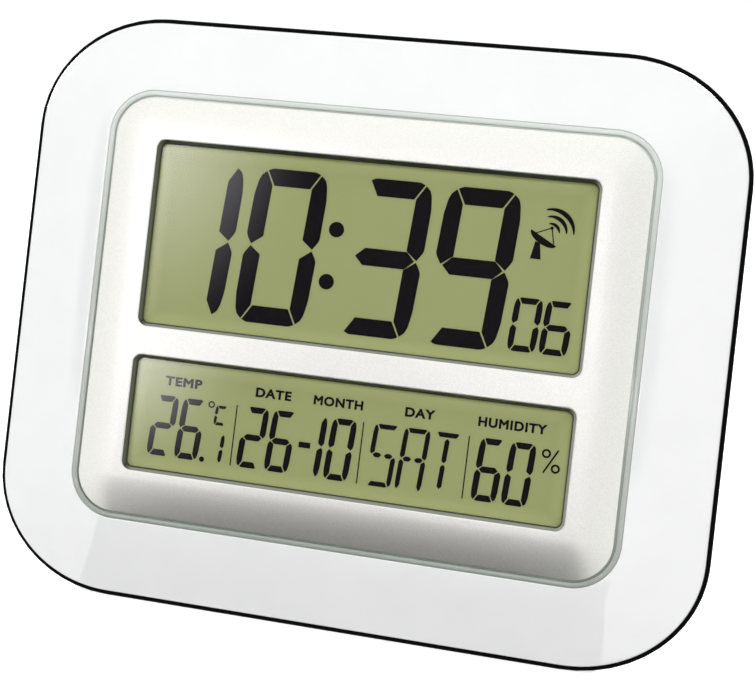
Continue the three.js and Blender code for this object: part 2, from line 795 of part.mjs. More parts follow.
// A contact plate flat against the bay's end wall on the side given
function contactPlate(side, z0, z1) {
  const outerX = side * (bayW / 2 - GAP);
  const innerX = outerX - side * PLATE_T;
  const [x0, x1] = [outerX, innerX].sort((a, b) => a - b);
  return box(x0, x1, cellY - CELL_R + PLATE_INSET, cellY + CELL_R - PLATE_INSET, z0, z1);
}

// A battery spring: one unbroken wire that narrows towards the cell
function springPath(side, z) {
  const fromX = side * (bayW / 2 - GAP - PLATE_T - GAP - SPRING_WIRE);
  const toX = flatEndX(side) + side * (GAP + SPRING_WIRE);
  const steps = Math.round(SPRING_TURNS * SPRING_STEPS);
  return Array.from({ length: steps + 1 }, (_, i) => {
    const share = i / steps;
    const angle = share * SPRING_TURNS * 2 * Math.PI;
    const radius = THREE.MathUtils.lerp(SPRING_R, SPRING_TIP_R, share);
    const x = THREE.MathUtils.lerp(fromX, toX, share);
    return new THREE.Vector3(x, cellY + radius * Math.cos(angle), z + radius * Math.sin(angle));
  });
}

function leastSpringGap(points) {
  let least = Infinity;
  for (let i = 0; i < points.length; i++) {
    for (let j = i + Math.floor(SPRING_STEPS / 2); j < points.length; j++) {
      least = Math.min(least, points[i].distanceTo(points[j]));
    }
  }
  return least - 2 * SPRING_WIRE;
}

function makeSpring(points) {
  const wire = new THREE.Shape().absarc(0, 0, SPRING_WIRE, 0, 2 * Math.PI);
  return new THREE.ExtrudeGeometry(wire, {
    steps: points.length - 1,
    curveSegments: SPRING_SIDES,
    extrudePath: new THREE.CatmullRomCurve3(points),
    bevelEnabled: false,
  });
}

function makeCoil() {
  const innerR = ANTENNA_R + GAP;
  const outerR = innerR + COIL_T;
  const half = COIL_L / 2;
  const profile = [
    [innerR, -half],
    [outerR, -half],
    [outerR, half],
    [innerR, half],
    [innerR, -half],
  ];
  return turned(profile).rotateZ(Math.PI / 2).translate(0, antennaY, antennaZ);
}

function makeCradle(x) {
  const halfW = CRADLE_W / 2;
  const halfH = CRADLE_H / 2;
  const block = box(x - halfW, x + halfW, onBoardY, antennaY, antennaZ - halfH, antennaZ + halfH);
  return cut(solid(block), [barX(ANTENNA_R + GAP, x - CRADLE_W, x + CRADLE_W, antennaY, antennaZ)]);
}

// Stand leg in its own axes: origin on the hinge, -z down the leg, -y towards the clock
function makeLeg() {
  const footFall = Math.tan(LEG_TILT) * (LEG_T / 2);
  const low = -legL - footFall;
  const shape = new THREE.Shape();
  shape.moveTo(-LEG_W / 2, legHeel);
  shape.lineTo(-LEG_END_W / 2, low);
  shape.lineTo(LEG_END_W / 2, low);
  shape.lineTo(LEG_W / 2, legHeel);
  const plate = new THREE.ExtrudeGeometry(shape, { depth: LEG_T, bevelEnabled: false });
  plate.translate(0, 0, -LEG_T / 2).rotateX(Math.PI / 2);
  const size = LEG_W * 2;
  const endCut = new THREE.BoxGeometry(size, size, size).translate(0, 0, -size / 2);
  endCut.rotateX(-LEG_TILT).translate(0, 0, -legL);
  const pocketHalf = LEG_END_W / 2 - LEG_RIM;
  const pocketY = LEG_T / 2 - LEG_POCKET;
  const pocket = box(-pocketHalf, pocketHalf, pocketY, LEG_T, -legL + 2 * LEG_RIM, -2 * LEG_RIM);
  const leg = join(solid(plate), [barX(HINGE_R, -LEG_W / 2, LEG_W / 2, 0, 0)]);
  return cut(leg, [endCut, pocket, barX(PIN_R + GAP, -LEG_W, LEG_W, 0, 0)]);
}

// Rubber foot under the leg, in the leg's axes
function makeFoot() {
  const halfW = LEG_END_W / 2;
  const halfD = LEG_T / 2 + FOOT_RIM;
  const foot = box(-halfW, halfW, -halfD, halfD, -FOOT_T, 0);
  const drop = GAP * Math.cos(LEG_TILT);
  const slip = GAP * Math.sin(LEG_TILT);
  return foot.rotateX(-LEG_TILT).translate(0, -slip, -legL - drop);
}

piece("bezel_frame", geometryOf(makeFrame()), whiteGloss);
piece("trim_ring", makeTrimRing(), trimPlastic);
piece("front_panel", geometryOf(makePanel()), silverPaint);

for (const [label, height, middle] of [
  ["time", TIME_WINDOW_H, timeZ],
  ["calendar", CALENDAR_WINDOW_H, calendarZ],
]) {
  piece(`${label}_lens`, makeLens(height, middle), clearPlastic);
  piece(`${label}_display`, lcdBox(height, middle, 0, lcdFrontY, lcdFrontY + LCD_T), displayGreen);
  const stripBackY = boardFrontY - GAP;
  piece(`${label}_connector_strip`, stripBox(height, middle, 0, carrierFloorY, stripBackY), greyPlastic);
}

piece("display_carrier", geometryOf(makeCarrier()), whitePlastic);
piece("main_board", geometryOf(makeBoard()), boardGreen);
piece("clock_chip", barY(CHIP_R, CHIP_X, CHIP_Z, onBoardY, onBoardY + CHIP_H), blackPlastic);
const crystal = barX(CRYSTAL_R, -CRYSTAL_L / 2, CRYSTAL_L / 2, onBoardY + CRYSTAL_R, CHIP_Z - CRYSTAL_DROP);
piece("quartz_crystal", crystal.translate(CHIP_X, 0, 0), steel);

const receiverX = ANTENNA_L / 2 + RECEIVER_GAP;
const receiverBackY = onBoardY + RECEIVER_T;
piece(
  "receiver_board",
  box(
    receiverX,
    receiverX + RECEIVER_W,
    onBoardY,
    receiverBackY,
    antennaZ - RECEIVER_H / 2,
    antennaZ + RECEIVER_H / 2,
  ),
  boardGreen,
);
const receiverChipX = receiverX + RECEIVER_W / 2;
piece(
  "receiver_chip",
  box(
    receiverChipX - RECEIVER_CHIP / 2,
    receiverChipX + RECEIVER_CHIP / 2,
    receiverBackY + GAP,
    receiverBackY + GAP + RECEIVER_CHIP_T,
    antennaZ - RECEIVER_CHIP / 2,
    antennaZ + RECEIVER_CHIP / 2,
  ),
  blackPlastic,
);
piece("antenna_rod", barX(ANTENNA_R, -ANTENNA_L / 2, ANTENNA_L / 2, antennaY, antennaZ), ferrite);
piece("antenna_coil", makeCoil(), copper);
piece("antenna_cradle_left", geometryOf(makeCradle(-cradleX)), whitePlastic);
piece("antenna_cradle_right", geometryOf(makeCradle(cradleX)), whitePlastic);
piece(
  "humidity_sensor",
  box(
    sensorX - SENSOR_W / 2,
    sensorX + SENSOR_W / 2,
    onBoardY,
    onBoardY + SENSOR_T,
    antennaZ - SENSOR_H / 2,
    antennaZ + SENSOR_H / 2,
  ),
  whitePlastic,
);
const beadX = sensorX + SENSOR_W / 2 + BEAD_GAP;
piece(
  "temperature_sensor",
  new THREE.SphereGeometry(BEAD_R, BEAD_SIDES, BEAD_RINGS).translate(beadX, onBoardY + BEAD_R, antennaZ),
  blackPlastic,
);

buttonPlaces().forEach((z, i) => {
  piece(`switch_${i + 1}`, geometryOf(makeSwitch(z)), steel);
  piece(`button_${i + 1}`, makeButton(z), blackPlastic);
});

boardPlaces.forEach(([x, z], i) => {
  const tipY = boardFrontY - GAP - PILOT_DEPTH;
  piece(`board_screw_${i + 1}`, geometryOf(screw(x, z, onBoardY, tipY)), steel);
});
casePlaces.forEach(([x, z], i) => {
  piece(`case_screw_${i + 1}`, geometryOf(screw(x, z, FLANGE_T + GAP, -PILOT_DEPTH)), steel);
});

piece("rear_cover", geometryOf(makeCover()), blackPlastic);
piece("battery_door", geometryOf(makeDoor()), blackPlastic);

const cellPitch = 2 * CELL_R + CELL_SIDE_GAP;
const upperZ = bayZ + cellPitch / 2;
const lowerZ = bayZ - cellPitch / 2;
const plateHalf = CELL_R - PLATE_INSET;
piece("battery_upper", makeCell(-1, upperZ), cellWrap);
piece("battery_lower", makeCell(1, lowerZ), cellWrap);
piece("link_contact", contactPlate(-1, lowerZ - plateHalf, upperZ + plateHalf), steel);
piece("plus_terminal", contactPlate(1, upperZ - plateHalf, upperZ + plateHalf), steel);
piece("minus_terminal", contactPlate(1, lowerZ - plateHalf, lowerZ + plateHalf), steel);
for (const [name, side, z] of [
  ["battery_spring_upper", -1, upperZ],
  ["battery_spring_lower", 1, lowerZ],
]) {
  const path = springPath(side, z);
  console.log(`${name}: least gap between turns ${leastSpringGap(path).toFixed(2)} mm`);
  piece(name, makeSpring(path), steel);
}

const stand = new THREE.Group();
stand.position.set(0, hingeY, hingeZ);
stand.rotation.x = legOpen;
leaning.add(stand);
piece("stand_leg", geometryOf(makeLeg()), blackPlastic, stand);
piece("stand_foot", makeFoot(), rubber, stand);
const pinHalf = lugOuterX() - GAP;
piece("stand_pin", barX(PIN_R, -pinHalf, pinHalf, hingeY, hingeZ), steel);

// Stand the object on the table with the origin under the middle of its box.
const bounds = new THREE.Box3().setFromObject(clock, true);
const middle = bounds.getCenter(new THREE.Vector3());
leaning.position.set(-middle.x, -middle.y, -bounds.min.z);
clock.updateMatrixWorld(true);

export default clock;
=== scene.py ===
# Looks of a radio-controlled clock with two segment displays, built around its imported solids.
# Sizes are in millimetres, and MM turns them to Blender's metres.

import json
import math

import bmesh
import bpy
from mathutils import Matrix, Vector


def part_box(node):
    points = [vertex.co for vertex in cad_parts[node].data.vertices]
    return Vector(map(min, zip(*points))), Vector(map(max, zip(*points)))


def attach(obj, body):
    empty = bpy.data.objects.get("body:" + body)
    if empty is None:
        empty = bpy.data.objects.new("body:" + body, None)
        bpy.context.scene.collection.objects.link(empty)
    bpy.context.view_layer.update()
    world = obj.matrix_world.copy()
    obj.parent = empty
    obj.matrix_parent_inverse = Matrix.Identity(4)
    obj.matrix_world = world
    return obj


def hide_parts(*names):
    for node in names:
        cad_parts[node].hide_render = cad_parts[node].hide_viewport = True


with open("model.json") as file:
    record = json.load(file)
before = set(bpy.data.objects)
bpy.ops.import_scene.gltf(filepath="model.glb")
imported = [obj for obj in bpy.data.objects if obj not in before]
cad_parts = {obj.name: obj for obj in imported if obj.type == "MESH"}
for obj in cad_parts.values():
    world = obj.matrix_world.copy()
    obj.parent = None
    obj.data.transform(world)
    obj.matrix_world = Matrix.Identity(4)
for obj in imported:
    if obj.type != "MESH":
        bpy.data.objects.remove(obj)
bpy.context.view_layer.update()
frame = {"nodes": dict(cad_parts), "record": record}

MM = 0.001

# Case, white frame and the rear cover's lip. The frame's slope eases from a share of its width on.
LEAN = math.radians(15)
GAP = 0.3
CASE_W = 230
CASE_H = 189.5
CASE_CORNER_X = 41.3
CASE_CORNER_Z = 38
FRAME_INSET = 1.5
FRAME_WALL = 2
FRAME_EDGE_Y = -3.4
FRAME_CREST_Y = -7.2
FRAME_ROUND = 1.3
CREST_ROUND = 0.3
CREST_EASE_FROM = 0.7
CREST_EASE_STEPS = 8
LEDGE_Y = -4.2
LEDGE_LAP = 2.6
LIP_W = 1.2
LIP_H = 1.5
LIP_ROUND = 0.35
LIP_INK = 0.02

# Groove round the panel, and the trim ring in it
GROOVE = 2.4
RING_FOOT = 0.1
RING_INNER = 0.7
RING_OUTER = 2.38
RING_FRONT_Y = -7.0
RING_SIDE_Y = -6.5
RING_FOOT_Y = -5.6
RING_BACK_Y = -4.5

# Front panel
PANEL_W = 171.6
PANEL_H = 134.3
PANEL_Z = 0.9
PANEL_CORNER = 12.5
PANEL_SKIRT = 2.2
PANEL_ROLL = 12.3
ROLL_EASE = 1.55
PANEL_EDGE_ROUND = 0.4
PANEL_EDGE_TURN = math.radians(75)
PANEL_BACK_Y = -4.5
PANEL_EDGE_Y = -7
PANEL_FRONT_Y = -9
PANEL_UNDER_Y = -7

# Windows in the panel. Silver covers the first rows of a window's rounded lip. Below it the sides
# carry painted shade a share of the way down: sides that face away from the light are painted darker,
# from light to dark over this span of their facing, a little uneven from speck to speck. The rest of
# the way down is a painted shadow line.
WINDOW_W = 141.4
TIME_WINDOW_H = 60
CALENDAR_WINDOW_H = 37.2
TIME_Z = 24.55
CALENDAR_Z = -33.35
WINDOW_CORNER = 3
WINDOW_DRAFT = 1.1
WINDOW_LIP = 0.45
LIP_STEPS = 4
LIP_SILVER_ROWS = 4
SHADE_REACH = 0.66
SHADE_FACING = (0.91, 0, -0.41)
SHADE_SPAN = 0.8
SHADE_SPECK = 0.3
SHADE_UNEVEN = 0.04

# Displays. The film has painted light along its border, brighter towards its edge, and its grain is
# drawn coarser than the real one.
LCD_FRONT_Y = -5.2
LCD_T = 2.8
FILM_BORDER = 4.5
FILM_PAINTED_LIGHT = 1.28
FILM_GRAIN = 0.4

# Battery door and the raised arrow on it, as its foot and its top
DOOR_Z = 22.45
DOOR_BACK_Y = 21.1
ARROW_SINK = 0.1
ARROW_RISE = 0.3
ARROW_FOOT = ((23, 1.2), (30, 1.2), (30, 3.4), (35, 0), (30, -3.4), (30, -1.2), (23, -1.2))
ARROW_TOP = (
    (23.3, 0.9),
    (30.3, 0.9),
    (30.3, 2.8),
    (34.4, 0),
    (30.3, -2.8),
    (30.3, -0.9),
    (23.3, -0.9),
)

# Fineness of the curves, and the angle from which an edge is sharp
CORNER_STEPS = 28
ROUND_STEPS = 6
ROLL_STEPS = 14
SHARP_ANGLE = math.radians(35)

# Moulded edges of the solids that stay
ARRIS_ROUND_OF = {"rear_cover": 0.35, "battery_door": 0.3, "stand_leg": 0.5, "stand_foot": 0.3}
ARRIS_ROUND_OF |= {f"button_{number}": 0.4 for number in range(1, 6)}
ARRIS_STEPS = 3
ARRIS_ANGLE = math.radians(40)
FLAT_ANGLE = math.radians(0.5)
SOLID_WELD = 0.001

# The clock's own axes: x to the reader's right, y from the face to the back, z up the face
display_low, display_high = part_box("time_display")
display_middle = Vector((0, LCD_FRONT_Y + LCD_T / 2, TIME_Z)) * MM
clock_axes = (
    Matrix.Translation((display_low + display_high) / 2)
    @ Matrix.Rotation(-LEAN, 4, "X")
    @ Matrix.Translation(-display_middle)
)


def linear(colour):
    """Linear RGBA of an sRGB hex colour."""
    parts = [int(colour[i : i + 2], 16) / 255 for i in (1, 3, 5)]
    return (*[p / 12.92 if p <= 0.04045 else ((p + 0.055) / 1.055) ** 2.4 for p in parts], 1)


def add(tree, kind, inputs=(), **settings):
    """Adds a node with its settings. An input is a value, or a (node, output) pair to link."""
    made = tree.nodes.new("ShaderNode" + kind)
    for name, value in settings.items():
        setattr(made, name, value)
    for name, value in dict(inputs).items():
        if isinstance(value, tuple) and isinstance(value[0], bpy.types.Node):
            tree.links.new(value[0].outputs[value[1]], made.inputs[name])
        else:
            made.inputs[name].default_value = value
    return made


def new_material(name, **inputs):
    """A material with one Principled shader; returns the material, its tree and the shader."""
    made = bpy.data.materials.new(name)
    made.use_nodes = True
    tree = made.node_tree
    tree.nodes.clear()
    named = {key.replace("_", " "): value for key, value in inputs.items()}
    shader = add(tree, "BsdfPrincipled", named)
    add(tree, "OutputMaterial", {"Surface": (shader, "BSDF")})
    return made, tree, shader


# Part of the noise's range that the grain's colours and roughness run over, and the noise's detail
GRAIN_LOW = 0.3
GRAIN_HIGH = 0.7
GRAIN_DETAIL = 3.0


def grained(name, dark, light, grain_mm, rough, bump_mm=0.0, stretch=(1, 1, 1), **inputs):
    """A material whose colour and roughness vary with a noise of that grain, with a fine bump."""
    made, tree, shader = new_material(name, **inputs)
    at = add(tree, "TexCoord")
    scaled = add(tree, "Mapping", {"Vector": (at, "Object"), "Scale": stretch})
    noise = add(
        tree,
        "TexNoise",
        {"Vector": (scaled, "Vector"), "Scale": 1 / (grain_mm * MM), "Detail": GRAIN_DETAIL},
    )
    tone = add(tree, "ValToRGB", {"Fac": (noise, "Fac")})
    stops = ((GRAIN_LOW, dark), (GRAIN_HIGH, light))
    for stop, (position, colour) in zip(tone.color_ramp.elements, stops):
        stop.position = position
        stop.color = linear(colour)
    spread = add(
        tree,
        "MapRange",
        {
            "Value": (noise, "Fac"),
            "From Min": GRAIN_LOW,
            "From Max": GRAIN_HIGH,
            "To Min": rough[0],
            "To Max": rough[1],
        },
    )
    tree.links.new(tone.outputs["Color"], shader.inputs["Base Color"])
    tree.links.new(spread.outputs["Result"], shader.inputs["Roughness"])
    if bump_mm:
        bump = add(
            tree,
            "Bump",
            {"Height": (noise, "Fac"), "Strength": 1.0, "Distance": bump_mm * MM},
        )
        tree.links.new(bump.outputs["Normal"], shader.inputs["Normal"])
    return made


def show_surface(tree, node, output):
    """Makes a node's output the surface of its material."""
    tree.links.new(node.outputs[output], tree.nodes["Material Output"].inputs["Surface"])


def display_window_material():
    """Clear acrylic sheet: polished, so it mirrors lamps at its faces and hides nothing behind it."""
    made, tree, shader = new_material(
        "clear_acrylic_sheet", Roughness=0.02, IOR=1.49, Transmission_Weight=1.0
    )
    shader.inputs["Base Color"].default_value = linear("#FBFDFA")
    path = add(tree, "LightPath")
    lit = add(
        tree,
        "Math",
        {0: (path, "Is Shadow Ray"), 1: (path, "Is Diffuse Ray")},
        operation="MAXIMUM",
    )
    through = add(tree, "BsdfTransparent", {"Color": linear("#F6F8F3")})
    mixed = add(tree, "MixShader", {0: (lit, "Value"), 1: (shader, "BSDF"), 2: (through, "BSDF")})
    show_surface(tree, mixed, "Shader")
    return made


def reveal_shade_material():
    """Sides of the window openings, glossy, with painted light and shade: the top and left sides are
    painted dark and the right and bottom sides light, as if lit from the upper left."""
    made, tree, shader = new_material("reveal_painted_shade", Roughness=0.22, IOR=1.53)
    at = add(tree, "TexCoord")
    # Painted shade: a side is painted darker the more it faces right and down, away from a light at
    # the upper left
    away = clock_axes.to_3x3() @ Vector(SHADE_FACING)
    facing = add(tree, "VectorMath", {0: (at, "Normal"), 1: away}, operation="DOT_PRODUCT")
    reach = add(
        tree,
        "MapRange",
        {"Value": (facing, "Value"), "From Min": -SHADE_SPAN, "From Max": SHADE_SPAN},
    )
    speck = add(tree, "TexNoise", {"Vector": (at, "Object"), "Scale": 1 / (SHADE_SPECK * MM)})
    uneven = add(
        tree,
        "MapRange",
        {"Value": (speck, "Fac"), "To Min": -SHADE_UNEVEN, "To Max": SHADE_UNEVEN},
    )
    total = add(tree, "Math", {0: (reach, "Result"), 1: (uneven, "Result")})
    tone = add(tree, "ValToRGB", {"Fac": (total, "Value")})
    ramp = tone.color_ramp
    # Painted light and shade: light on the right side, lighter on the bottom, dark on the left and
    # darkest on the top
    ramp.elements[0].color = linear("#A4A79C")
    ramp.elements[1].color = linear("#5A5E48")
    for position, colour in ((0.27, "#8F9388"), (0.5, "#5C6056"), (0.72, "#2E352B")):
        ramp.elements.new(position).color = linear(colour)
    tree.links.new(tone.outputs["Color"], shader.inputs["Base Color"])
    return made


# Size of the cloudy patches in the clear strip, and how far they shift its tone
STYRENE_CLOUD = 4
STYRENE_UNEVEN = 0.03


def clear_styrene_material():
    """Clear grey-green styrene strip, with painted shade: lighter at its top and darker towards its
    foot.
    """
    made, tree, shader = new_material("clear_styrene", Roughness=0.14, IOR=1.59)
    at = add(tree, "TexCoord")
    height = add(tree, "SeparateXYZ", {"Vector": (at, "Object")})
    low, high = (corner.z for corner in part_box("trim_ring"))
    # Painted shade: the tone runs from dark at the strip's lowest point to light at its highest
    share = add(tree, "MapRange", {"Value": (height, "Z"), "From Min": low, "From Max": high})
    cloud = add(tree, "TexNoise", {"Vector": (at, "Object"), "Scale": 1 / (STYRENE_CLOUD * MM)})
    uneven = add(
        tree,
        "MapRange",
        {"Value": (cloud, "Fac"), "To Min": -STYRENE_UNEVEN, "To Max": STYRENE_UNEVEN},
    )
    total = add(tree, "Math", {0: (share, "Result"), 1: (uneven, "Result")})
    tone = add(tree, "ValToRGB", {"Fac": (total, "Value")})
    ramp = tone.color_ramp
    ramp.elements[0].color = linear("#979E97")
    ramp.elements[1].color = linear("#D6DCD7")
    for position, colour in ((0.15, "#B2B8B1"), (0.65, "#BCC2BC")):
        ramp.elements.new(position).color = linear(colour)
    tree.links.new(tone.outputs["Color"], shader.inputs["Base Color"])
    return made


def display_film_material(name, height, middle):
    """Segment display: reflector film under glass, an even olive with the faint grain of the film,
    with painted light along its border that brightens it towards the window's edge."""
    made, tree, shader = new_material(name, Roughness=0.45, IOR=1.5, Specular_IOR_Level=0.05)
    to_clock = clock_axes.inverted()
    at = add(tree, "TexCoord")
    in_mm = add(
        tree,
        "Mapping",
        {
            "Vector": (at, "Object"),
            "Location": to_clock.translation / MM,
            "Rotation": to_clock.to_euler(),
            "Scale": (1 / MM, 1 / MM, 1 / MM),
        },
    )
    grain = add(
        tree,
        "TexNoise",
        {"Vector": (in_mm, "Vector"), "Scale": 1 / FILM_GRAIN, "Detail": GRAIN_DETAIL},
    )
    film = add(tree, "ValToRGB", {"Fac": (grain, "Fac")})
    film.color_ramp.elements[0].color = linear("#A7A97A")
    film.color_ramp.elements[1].color = linear("#AFB181")
    axis = add(tree, "SeparateXYZ", {"Vector": (in_mm, "Vector")})
    above = add(tree, "Math", {0: (axis, "Z"), 1: middle}, operation="SUBTRACT")
    from_edges = []
    for across, output, half in (
        (axis, "X", WINDOW_W / 2 - WINDOW_DRAFT),
        (above, "Value", height / 2 - WINDOW_DRAFT),
    ):
        apart = add(tree, "Math", {0: (across, output)}, operation="ABSOLUTE")
        from_edges.append(add(tree, "Math", {0: half, 1: (apart, "Value")}, operation="SUBTRACT"))
    from_side, from_top = from_edges
    inside = add(
        tree, "Math", {0: (from_side, "Value"), 1: (from_top, "Value")}, operation="MINIMUM"
    )
    # Painted light: the film's colour is scaled up towards the window's edge, over the border's width
    border = add(
        tree,
        "MapRange",
        {
            "Value": (inside, "Value"),
            "From Max": FILM_BORDER,
            "To Min": FILM_PAINTED_LIGHT,
            "To Max": 1.0,
        },
    )
    lit = add(
        tree, "VectorMath", {0: (film, "Color"), "Scale": (border, "Result")}, operation="SCALE"
    )
    tree.links.new(lit.outputs["Vector"], shader.inputs["Base Color"])
    return made


# White ABS, polished in the mould: even, bright and mirror-smooth, with a faint slow waviness
white_gloss_abs = grained(
    "white_gloss_abs",
    "#F0F1F1",
    "#F3F4F4",
    grain_mm=14,
    rough=(0.05, 0.07),
    bump_mm=0.001,
    IOR=1.53,
    Coat_Weight=1.0,
    Coat_IOR=1.5,
    Coat_Roughness=0.03,
)
# Silver lacquer on plastic: aluminium flake gives a satin sparkle. Real flake is finer than a
# pixel, so it is drawn at a third of a millimetre.
satin_silver_lacquer = grained(
    "satin_silver_lacquer",
    "#E8E8E2",
    "#F6F6F0",
    grain_mm=0.35,
    rough=(0.38, 0.46),
    bump_mm=0.008,
    Metallic=0.86,
)
# Driven liquid crystal, bonded under glass so it has no shine of its own: near black, violet cast
dark_segment = grained(
    "dark_segment",
    "#1B181C",
    "#1F1C20",
    grain_mm=0.6,
    rough=(0.5, 0.6),
    IOR=1.5,
    Specular_IOR_Level=0.0,
)
# Black ABS with a spark-eroded skin: fine matt grit whose pits swallow part of the shine. Real grit
# is about a tenth of a millimetre, and is drawn coarser so that it shows.
black_grit_abs = grained(
    "black_grit_abs",
    "#101012",
    "#1B1B1D",
    grain_mm=0.45,
    rough=(0.36, 0.52),
    bump_mm=0.03,
    IOR=1.53,
    Specular_IOR_Level=0.3,
)
# White ABS straight from the mould, for pieces inside the case: pale, even and slightly matt
white_moulded_abs = grained(
    "white_moulded_abs",
    "#DEDED9",
    "#E8E8E4",
    grain_mm=1.5,
    rough=(0.4, 0.55),
    bump_mm=0.01,
    IOR=1.53,
)
# Elastomer strip: conducting and clear layers side by side, seen as fine grey stripes. Real layers
# are a tenth as wide as the stripes drawn here.
striped_elastomer = grained(
    "striped_elastomer",
    "#4A4C4E",
    "#8F9395",
    grain_mm=0.5,
    rough=(0.6, 0.75),
    stretch=(1, 0.02, 0.02),
)
# Glass-fibre board under green solder mask: the weave shows as a faint mottle
solder_mask_board = grained(
    "solder_mask_board",
    "#1A4F33",
    "#24694A",
    grain_mm=0.8,
    rough=(0.3, 0.45),
    bump_mm=0.01,
    IOR=1.5,
)
# Moulded epoxy: dull black with a sandy grain
moulded_epoxy = grained(
    "moulded_epoxy",
    "#141415",
    "#1E1E20",
    grain_mm=0.3,
    rough=(0.55, 0.7),
    bump_mm=0.02,
    IOR=1.55,
)
# Zinc-plated steel: bright and slightly cloudy
zinc_plated_steel = grained(
    "zinc_plated_steel",
    "#A9ACB0",
    "#C2C5C8",
    grain_mm=0.8,
    rough=(0.22, 0.38),
    bump_mm=0.004,
    Metallic=1.0,
)
# Enamelled copper wire, wound tight: a fine line across the coil at each turn, drawn at half a
# millimetre, coarser than the real wire
wound_copper = grained(
    "wound_copper",
    "#8A4F2A",
    "#C07C48",
    grain_mm=0.5,
    rough=(0.3, 0.42),
    bump_mm=0.06,
    stretch=(1, 0.05, 0.05),
    Metallic=1.0,
)
# Sintered ferrite: dark, dense and slightly rough
sintered_ferrite = grained(
    "sintered_ferrite",
    "#2B2B2E",
    "#3C3C40",
    grain_mm=0.4,
    rough=(0.55, 0.7),
    bump_mm=0.02,
    Metallic=0.2,
)
# Plastic sleeve shrunk on a steel can: smooth and shiny, with a slow change of blue
cell_sleeve = grained(
    "cell_sleeve", "#2F4B69", "#3A5878", grain_mm=5, rough=(0.22, 0.3), IOR=1.5
)
# Soft black rubber: dusty and matt
soft_rubber = grained(
    "soft_rubber", "#1B1B1B", "#272727", grain_mm=0.6, rough=(0.75, 0.9), bump_mm=0.02, IOR=1.52
)
# Foot of the window openings: a painted shadow line where the sides meet the glass, dark and dull
reveal_painted_shadow_line = grained(
    "reveal_painted_shadow_line", "#1B1F18", "#242820", grain_mm=0.5, rough=(0.4, 0.5), IOR=1.53
)
# Matt black line printed along the lip of the rear cover: takes nearly all the light it gets
black_lip_ink = grained(
    "black_lip_ink",
    "#060607",
    "#0B0B0C",
    grain_mm=0.6,
    rough=(0.7, 0.85),
    IOR=1.5,
    Specular_IOR_Level=0.04,
)
clear_acrylic = display_window_material()
clear_styrene = clear_styrene_material()
film_of_display = {
    "time_display": display_film_material("olive_time_film", TIME_WINDOW_H, TIME_Z),
    "calendar_display": display_film_material("olive_calendar_film", CALENDAR_WINDOW_H, CALENDAR_Z),
}
reveal_shade = reveal_shade_material()

finish_of_slot = {
    "white_gloss": white_gloss_abs,
    "silver_paint": satin_silver_lacquer,
    "trim_clear": clear_styrene,
    "lens_clear": clear_acrylic,
    "black_abs": black_grit_abs,
    "white_abs": white_moulded_abs,
    "elastomer": striped_elastomer,
    "circuit_board": solder_mask_board,
    "chip_black": moulded_epoxy,
    "steel": zinc_plated_steel,
    "copper": wound_copper,
    "ferrite": sintered_ferrite,
    "cell_wrap": cell_sleeve,
    "rubber": soft_rubber,
}
for part in frame["record"]["subparts"]:
    solid_mesh = frame["nodes"][part["node"]].data
    solid_mesh.materials.clear()
    film = film_of_display.get(part["node"])
    solid_mesh.materials.append(film or finish_of_slot[part["material_slot"]])


def rounded_loop(half_w, half_h, radius_x, radius_z, centre_z=0.0):
    """Points of a rounded rectangle, anticlockwise as the reader sees them."""
    loop = []
    for corner, (sign_x, sign_z) in enumerate(((1, 1), (-1, 1), (-1, -1), (1, -1))):
        for step in range(CORNER_STEPS + 1):
            angle = (corner + step / CORNER_STEPS) * math.pi / 2
            x = sign_x * (half_w - radius_x) + radius_x * math.cos(angle)
            z = centre_z + sign_z * (half_h - radius_z) + radius_z * math.sin(angle)
            loop.append((x, z))
    return loop


def case_loop(inset):
    """The case's outline, moved in."""
    return rounded_loop(
        CASE_W / 2 - inset, CASE_H / 2 - inset, CASE_CORNER_X - inset, CASE_CORNER_Z - inset
    )


def panel_loop(outset):
    """The panel's outline, moved out."""
    radius = PANEL_CORNER + outset
    return rounded_loop(PANEL_W / 2 + outset, PANEL_H / 2 + outset, radius, radius, PANEL_Z)


def window_loop(height, middle, outset):
    """The outline of a window of that height, moved out."""
    radius = WINDOW_CORNER + outset
    return rounded_loop(WINDOW_W / 2 + outset, height / 2 + outset, radius, radius, middle)


def between(first, second, share):
    """The loop a share of the way from the first loop to the second."""
    return [
        (x0 + (x1 - x0) * share, z0 + (z1 - z0) * share)
        for (x0, z0), (x1, z1) in zip(first, second)
    ]


def ring_of_verts(bm, loop, y):
    """Vertices along a loop at that depth."""
    return [bm.verts.new((x, y, z)) for x, z in loop]


def skin(bm, rows, closed=False, finish_index=0):
    """Quads between rows of vertices, and back to the first row if closed."""
    pairs = list(zip(rows, rows[1:]))
    if closed:
        pairs.append((rows[-1], rows[0]))
    for near, far in pairs:
        for i, corner in enumerate(near):
            j = (i + 1) % len(near)
            bm.faces.new((corner, far[i], far[j], near[j])).material_index = finish_index


def closed_skin(rings):
    """A new bmesh with one closed skin over rings, each a loop and its depth y."""
    bm = bmesh.new()
    skin(bm, [ring_of_verts(bm, loop, y) for loop, y in rings], closed=True)
    return bm


def flat_fill(bm, rings):
    """A flat sheet inside the first ring of vertices and outside the others."""
    edges = []
    for ring in rings:
        for i, corner in enumerate(ring):
            after = ring[(i + 1) % len(ring)]
            edges.append(bm.edges.get((corner, after)) or bm.edges.new((corner, after)))
    bmesh.ops.triangle_fill(bm, edges=edges, use_beauty=True, use_dissolve=True)


